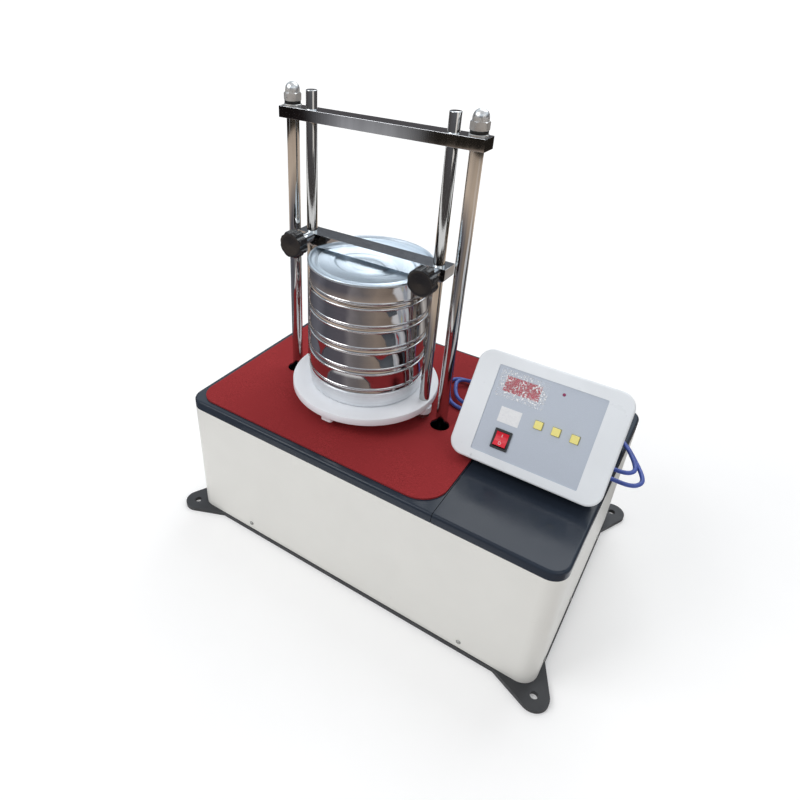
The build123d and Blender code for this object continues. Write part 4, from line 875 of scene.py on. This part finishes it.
ROD_SIDES = 64
COLUMN_PROFILE = (
    (8.0, 178.0), (8.0, 210.0), (9.6, 210.0), (10.0, 210.6), (10.0, 735.0), (8.0, 735.0),
    (8.0, 770.4),
)
ROD_PROFILE = (
    (7.0, 272.0), (7.0, 306.0), (9.0, 306.0), (9.0, 778.5), (8.6, 779.2), (8.0, 779.5),
)
BAR_HALF_LENGTH = 0.1745
BAR_HALF_WIDTH = 0.015

# Cap nuts: half across flats in metres, dome in millimetres, and the prism that cuts the flats
CAP_FLATS = 0.012
CAP_DOME = 11.5
CAP_DOME_FOOT = 23.5
CAP_SIDES = 96
CAP_PRISM_HEIGHT = 0.08
CAP_PRISM_RISE = 0.02
GROUND_EDGE = 0.0004
WASHER_PROFILE = ((1.0, 0.0), (13.6, 0.0), (14.0, 0.4), (14.0, 2.6), (13.6, 3.0), (1.0, 3.0))
SPRING_PROFILE = ((1.0, 3.0), (12.6, 3.0), (12.8, 3.3), (12.8, 7.2), (12.6, 7.5), (1.0, 7.5))
CAP_PROFILE = (
    (1.0, 7.5), (12.4, 7.5), (13.9, 8.4), (13.9, 18.2), (12.3, 19.5), (11.6, 19.5), (11.5, 19.9),
    *(
        (CAP_DOME * math.cos(turn), CAP_DOME_FOOT + CAP_DOME * math.sin(turn))
        for turn in map(math.radians, range(0, 85, 7))
    ),
)


class SHAKER_OT_rods(bpy.types.Operator):
    """Turns the columns and rods and grinds the crossbar with its cap nuts"""

    bl_idname = "shaker.rods"
    bl_label = "Columns, rods and crossbar"

    def execute(self, context):
        sizes = context.scene.shaker_sizes
        chrome = chrome_plate("hard_chrome", (0.62, 0.62, 0.61), 0.05, 0.06)
        for side, name in SIDES:
            column = turned(
                "column_" + name, COLUMN_PROFILE, (STACK.x + side * COLUMN_OFFSET, STACK.y, 0.0),
                chrome, ROD_SIDES,
            )
            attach(column, "carriage")
            rod = turned(
                "rod_" + name, ROD_PROFILE, (STACK.x + side * ROD_OFFSET, STACK.y, 0.0),
                chrome, ROD_SIDES,
            )
            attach(rod, "table")
            if side < 0:
                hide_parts("outer_columns")
                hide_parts("inner_rods")
        bright = chrome_plate("bar_chrome", (0.62, 0.62, 0.63), 0.03, 0.04)
        bar = block(
            "crossbar", (STACK.x - BAR_HALF_LENGTH, STACK.y - BAR_HALF_WIDTH, BAR_BOTTOM),
            (STACK.x + BAR_HALF_LENGTH, STACK.y + BAR_HALF_WIDTH, BAR_TOP), bright,
            sizes.edge_round,
        )
        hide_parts("top_bar")
        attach(bar, "carriage")
        zinc = ground_metal("bright_zinc", (0.74, 0.74, 0.73), 0.34)
        spring = ground_metal("spring_steel", (0.05, 0.05, 0.05), 0.4)
        for side, name in SIDES:
            place = (STACK.x + side * COLUMN_OFFSET, STACK.y, BAR_TOP)
            washer = turned("flat_washer_" + name, WASHER_PROFILE, place, zinc, ROD_SIDES)
            ring = turned("spring_washer_" + name, SPRING_PROFILE, place, spring, ROD_SIDES)
            cap = turned("cap_nut_" + name, CAP_PROFILE, place, zinc, CAP_SIDES)
            hexagon = upright(
                CAP_FLATS / math.cos(math.radians(30)), CAP_PRISM_HEIGHT,
                (*place[:2], BAR_TOP + CAP_PRISM_RISE), 6,
            )
            cut_away(cap, [hexagon], "INTERSECT")
            soften(cap, GROUND_EDGE)
            for piece in (washer, ring, cap):
                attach(piece, "carriage")
            if side < 0:
                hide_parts("cap_nuts")
        return {"FINISHED"}


CLAMP_SIZE = Vector((0.280, 0.033, 0.022))
CLAMP_END_ROUND = 0.007
BORE_RADIUS = 0.00906
BORE_DEPTH = 0.04
KNOB_BACK_Y = -0.068
KNOB_LOBES = 8
KNOB_EDGE = 0.0010
KNOB_SIDES = 96
FLUTE_RADIUS = 0.0068
FLUTE_REACH = 0.0268
FLUTE_HEIGHT = 0.03
FLUTE_MIDDLE = 0.012
FLUTE_SIDES = 48
BOSS_PROFILE = ((1.0, -2.0), (9.0, -2.0), (9.0, 13.2), (8.2, 14.0), (1.0, 14.0))
KNOB_PROFILE = (
    (1.0, -31.6), (4.0, -31.6), (4.0, -5.0), (10.0, -5.0), (10.0, 0.0), (21.8, 0.0),
    (23.2, 1.4), (23.2, 14.4), (22.9, 16.6), (22.0, 18.4), (20.4, 19.6), (18.4, 20.0),
    (15.0, 19.7), (1.0, 18.6),
)


def grind_clamp(chrome):
    """The bar over the lid: rounded below at its ends and bored for the rods."""
    bar = raw_box((STACK.x, STACK.y, CLAMP_Z), CLAMP_SIZE)
    bpy.ops.object.mode_set(mode="EDIT")
    bpy.ops.mesh.select_mode(type="EDGE")
    bpy.ops.mesh.select_all(action="DESELECT")
    mesh = bmesh.from_edit_mesh(bar.data)
    for edge in mesh.edges:
        first, second = (vert.co for vert in edge.verts)
        edge.select = max(first.z, second.z) < CLAMP_Z and abs(first.x - second.x) < 1e-6
    bmesh.update_edit_mesh(bar.data)
    bpy.ops.mesh.bevel(offset=CLAMP_END_ROUND, segments=8, affect="EDGES")
    bpy.ops.object.mode_set(mode="OBJECT")
    bores = [
        upright(BORE_RADIUS, BORE_DEPTH, (STACK.x + side * ROD_OFFSET, STACK.y, CLAMP_Z))
        for side, _ in SIDES
    ]
    cut_away(bar, bores)
    settle("clamp_crossbar", chrome)
    soften(bar, GROUND_EDGE)
    return bar


class SHAKER_OT_clamp(bpy.types.Operator):
    """Grinds the clamp bar and moulds its star knobs"""

    bl_idname = "shaker.clamp"
    bl_label = "Clamp bar and knobs"

    def execute(self, context):
        chrome = chrome_plate("clamp_chrome", (0.60, 0.61, 0.62), 0.05, 0.05)
        bar = grind_clamp(chrome)
        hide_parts("clamp_bar")
        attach(bar, "clamp_bar")
        bakelite = moulded_plastic("knob_plastic", (0.014, 0.013, 0.014), 0.22, 900.0, 0.05)
        for side, name in SIDES:
            x = STACK.x + side * ROD_OFFSET
            boss = turned("clamp_boss_" + name, BOSS_PROFILE, (0.0, 0.0, 0.0), chrome, ROD_SIDES)
            face_front(boss, x, STACK.y - CLAMP_SIZE.y / 2, CLAMP_Z)
            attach(boss, "clamp_bar")
            knob = turned("star_knob_" + name, KNOB_PROFILE, (0.0, 0.0, 0.0), bakelite, KNOB_SIDES)
            flutes = []
            for lobe in range(KNOB_LOBES):
                angle = math.radians(360 / KNOB_LOBES * lobe)
                x_at, y_at = FLUTE_REACH * math.cos(angle), FLUTE_REACH * math.sin(angle)
                middle = (x_at, y_at, FLUTE_MIDDLE)
                flutes.append(upright(FLUTE_RADIUS, FLUTE_HEIGHT, middle, FLUTE_SIDES))
            cut_away(knob, flutes)
            soften(knob, KNOB_EDGE, 3, 28.0)
            face_front(knob, x, KNOB_BACK_Y, CLAMP_Z)
            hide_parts("clamp_knob_" + name)
            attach(knob, "knob_" + name)
        return {"FINISHED"}


TABLE_SIDES = 160
TABLE_PROFILE = (
    (1.0, 292.0), (131.4, 292.0), (132.2, 292.4), (132.6, 293.4), (132.6, 304.4), (132.2, 305.5),
    (131.3, 306.0), (105.0, 306.0), (1.0, 306.0),
)


class SHAKER_OT_table(bpy.types.Operator):
    """Paints the round table and the frame below it"""

    bl_idname = "shaker.table"
    bl_label = "Sieve table"

    def execute(self, context):
        colours = context.scene.shaker_colours
        white = powder_coat("white_paint", tuple(colours.table), 0.35)
        plate = turned(
            "round_table", TABLE_PROFILE, (STACK.x, STACK.y, 0.0), white, TABLE_SIDES
        )
        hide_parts("table_plate")
        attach(plate, "table")
        dress(white, "table_frame")
        return {"FINISHED"}


# Label and film on the box's own plane: metres, but the film's centre in millimetres
LABEL_LOW = (-0.0605, -0.0170, -0.0016)
LABEL_HIGH = (-0.0265, 0.0075, -0.0012)
LABEL_EDGE = 0.00008
FILM_SIZE = (0.078, 0.044)
FILM_CENTRE = (-39.5, 43.0, -0.7)
FILM_CELLS = (52, 30)
FILM_CRINKLE = 0.0007
FILM_CLEAR = 0.10


def crinkle_film():
    """Clear protective film, crinkled round the window, with white painted glints in patches on
    its folds.
    """
    bpy.ops.object.select_all(action="DESELECT")
    across, along = FILM_CELLS
    bpy.ops.mesh.primitive_grid_add(x_subdivisions=across, y_subdivisions=along, size=1.0)
    film = bpy.context.active_object
    film.scale = (*FILM_SIZE, 1.0)
    bake_place(film)
    bpy.ops.object.mode_set(mode="EDIT")
    bpy.ops.mesh.select_all(action="SELECT")
    bpy.ops.transform.vertex_random(offset=FILM_CRINKLE, uniform=0.0, normal=0.9, seed=11)
    bpy.ops.object.mode_set(mode="OBJECT")
    clear = Finish("clear_film", (0.93, 0.94, 0.96), 0.12)
    clear.shader.inputs["Specular IOR Level"].default_value = 0.8
    folds = clear.noise(330.0, 4.0, 0.7)
    patches = clear.noise(70.0, 2.0, 0.5)
    # Opaque white where the folds and patches meet: painted glints on the clear film
    painted_glints = clear.work_out(
        "MULTIPLY", clear.spread(folds, 0.0, 1.0, 0.50, 0.58),
        clear.spread(patches, 0.25, 1.0, 0.42, 0.56),
    )
    seen = clear.work_out("MAXIMUM", painted_glints, FILM_CLEAR)
    clear.join(seen, clear.shader.inputs["Alpha"])
    film = settle("window_film", clear.material, 10.0)
    lay_on_box(film, *FILM_CENTRE)
    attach(film, "base")


# The rocker's tilt, pivot in the box's millimetres, and its marks in metres
ROCKER_TILT = BOX_TILT - math.radians(9.0)
ROCKER_UV = (-43.5, -43.0)
ROCKER_PIVOT = -2.5
MARK_REACH = 0.006
MARK_RISE = 0.0041
MARK_SLOPE = math.radians(12.3)
OFF_RING_RADIUS = 0.0021
OFF_LINE_RADIUS = 0.00035
ON_HALF = Vector((0.0004, 0.0022, 0.0003))


def mark_rocker():
    """White on and off marks that stand a hair proud of the rocker's two slopes."""
    white = moulded_plastic("mark_white", (0.85, 0.85, 0.85), 0.4)
    bpy.ops.object.select_all(action="DESELECT")
    bpy.ops.mesh.primitive_torus_add(
        major_segments=40, minor_segments=8,
        major_radius=OFF_RING_RADIUS, minor_radius=OFF_LINE_RADIUS,
    )
    off_mark = settle("rocker_off_mark", white)
    on_mark = block("rocker_on_mark", -ON_HALF, ON_HALF, white)
    up = Vector((0.0, math.cos(ROCKER_TILT), math.sin(ROCKER_TILT)))
    turn = Matrix((BOX_RIGHT, up, BOX_RIGHT.cross(up))).transposed().to_4x4()
    pivot = Matrix.Translation(on_box(*ROCKER_UV, ROCKER_PIVOT))
    for mark, end in ((off_mark, -1), (on_mark, 1)):
        place = Matrix.Translation((0.0, end * MARK_REACH, MARK_RISE))
        slope = Matrix.Rotation(end * MARK_SLOPE, 4, "X")
        mark.matrix_world = pivot @ turn @ place @ slope
        bake_place(mark)
        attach(mark, "rocker")


class SHAKER_OT_control_box(bpy.types.Operator):
    """Moulds the control box, its panel, window, buttons and switch"""

    bl_idname = "shaker.control_box"
    bl_label = "Control box"

    def execute(self, context):
        colours = context.scene.shaker_colours
        dress(moulded_plastic("light_abs", (0.82, 0.85, 0.88), 0.32), "box_bezel")
        dress(moulded_plastic("shell_black", (0.02, 0.021, 0.023), 0.38), "box_shell")
        panel = Finish("panel_film", tuple(colours.panel), 0.5)
        panel.tint(panel.noise(900.0, 2.0), shade(tuple(colours.panel), 0.95))
        panel.gloss(panel.noise(20.0, 4.0), 0.42, 0.58)
        panel.bump(panel.noise(1400.0, 2.0), 0.06, 0.0002)
        dress(panel.material, "control_panel")
        window = Finish("window_red", (0.36, 0.020, 0.035), 0.12)
        window.tint(window.noise(30.0, 3.0), (0.50, 0.04, 0.07))
        dress(window.material, "display_window")
        lamp = Finish("lamp_lens", (0.30, 0.03, 0.10), 0.15)
        lamp.tint(lamp.noise(800.0, 2.0), (0.22, 0.02, 0.08))
        dress(lamp.material, "indicator_lamp")
        yellow = moulded_plastic("button_yellow", tuple(colours.buttons), 0.3, 1200.0, 0.05)
        dress(yellow, "button_1", "button_2", "button_3")
        dress(moulded_plastic("switch_black", (0.015, 0.015, 0.016), 0.35), "switch_body")
        red = moulded_plastic("rocker_red", tuple(colours.rocker), 0.16, 800.0, 0.03)
        dress(red, "switch_rocker")
        paper = Finish("label_paper", (0.84, 0.85, 0.86), 0.6)
        paper.tint(paper.noise(300.0, 3.0), (0.78, 0.79, 0.81))
        label = block("panel_label", LABEL_LOW, LABEL_HIGH, paper.material, LABEL_EDGE, 1)
        lay_on_box(label, 0.0, 0.0, 0.0)
        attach(label, "base")
        crinkle_film()
        mark_rocker()
        green = moulded_plastic("board_green", (0.02, 0.16, 0.06), 0.35, 300.0, 0.2)
        dress(green, "circuit_board")
        return {"FINISHED"}


class SHAKER_PT_panel(bpy.types.Panel):
    """Lists the shaker's pieces and settings"""

    bl_idname = "SHAKER_PT_panel"
    bl_label = "Sieve shaker"
    bl_space_type = "VIEW_3D"
    bl_region_type = "UI"
    bl_category = "Shaker"

    def draw(self, context):
        for operator in OPERATORS:
            self.layout.operator(operator.bl_idname)
        for group in (context.scene.shaker_sizes, context.scene.shaker_colours):
            column = self.layout.column(align=True)
            for key in type(group).__annotations__:
                column.prop(group, key)


OPERATORS = (
    SHAKER_OT_stage,
    SHAKER_OT_lead,
    SHAKER_OT_base,
    SHAKER_OT_drive,
    SHAKER_OT_stack,
    SHAKER_OT_rods,
    SHAKER_OT_clamp,
    SHAKER_OT_table,
    SHAKER_OT_control_box,
)
GROUPS = (ShakerSizes, ShakerColours)


def register():
    for group in (*GROUPS, *OPERATORS, SHAKER_PT_panel):
        bpy.utils.register_class(group)
    bpy.types.Scene.shaker_sizes = bpy.props.PointerProperty(type=ShakerSizes)
    bpy.types.Scene.shaker_colours = bpy.props.PointerProperty(type=ShakerColours)


def unregister():
    del bpy.types.Scene.shaker_colours
    del bpy.types.Scene.shaker_sizes
    for group in reversed((*GROUPS, *OPERATORS, SHAKER_PT_panel)):
        bpy.utils.unregister_class(group)


def main():
    register()
    for operator in OPERATORS:
        family, name = operator.bl_idname.split(".")
        getattr(getattr(bpy.ops, family), name)()
    bpy.context.view_layer.update()


if __name__ == "__main__":
    main()
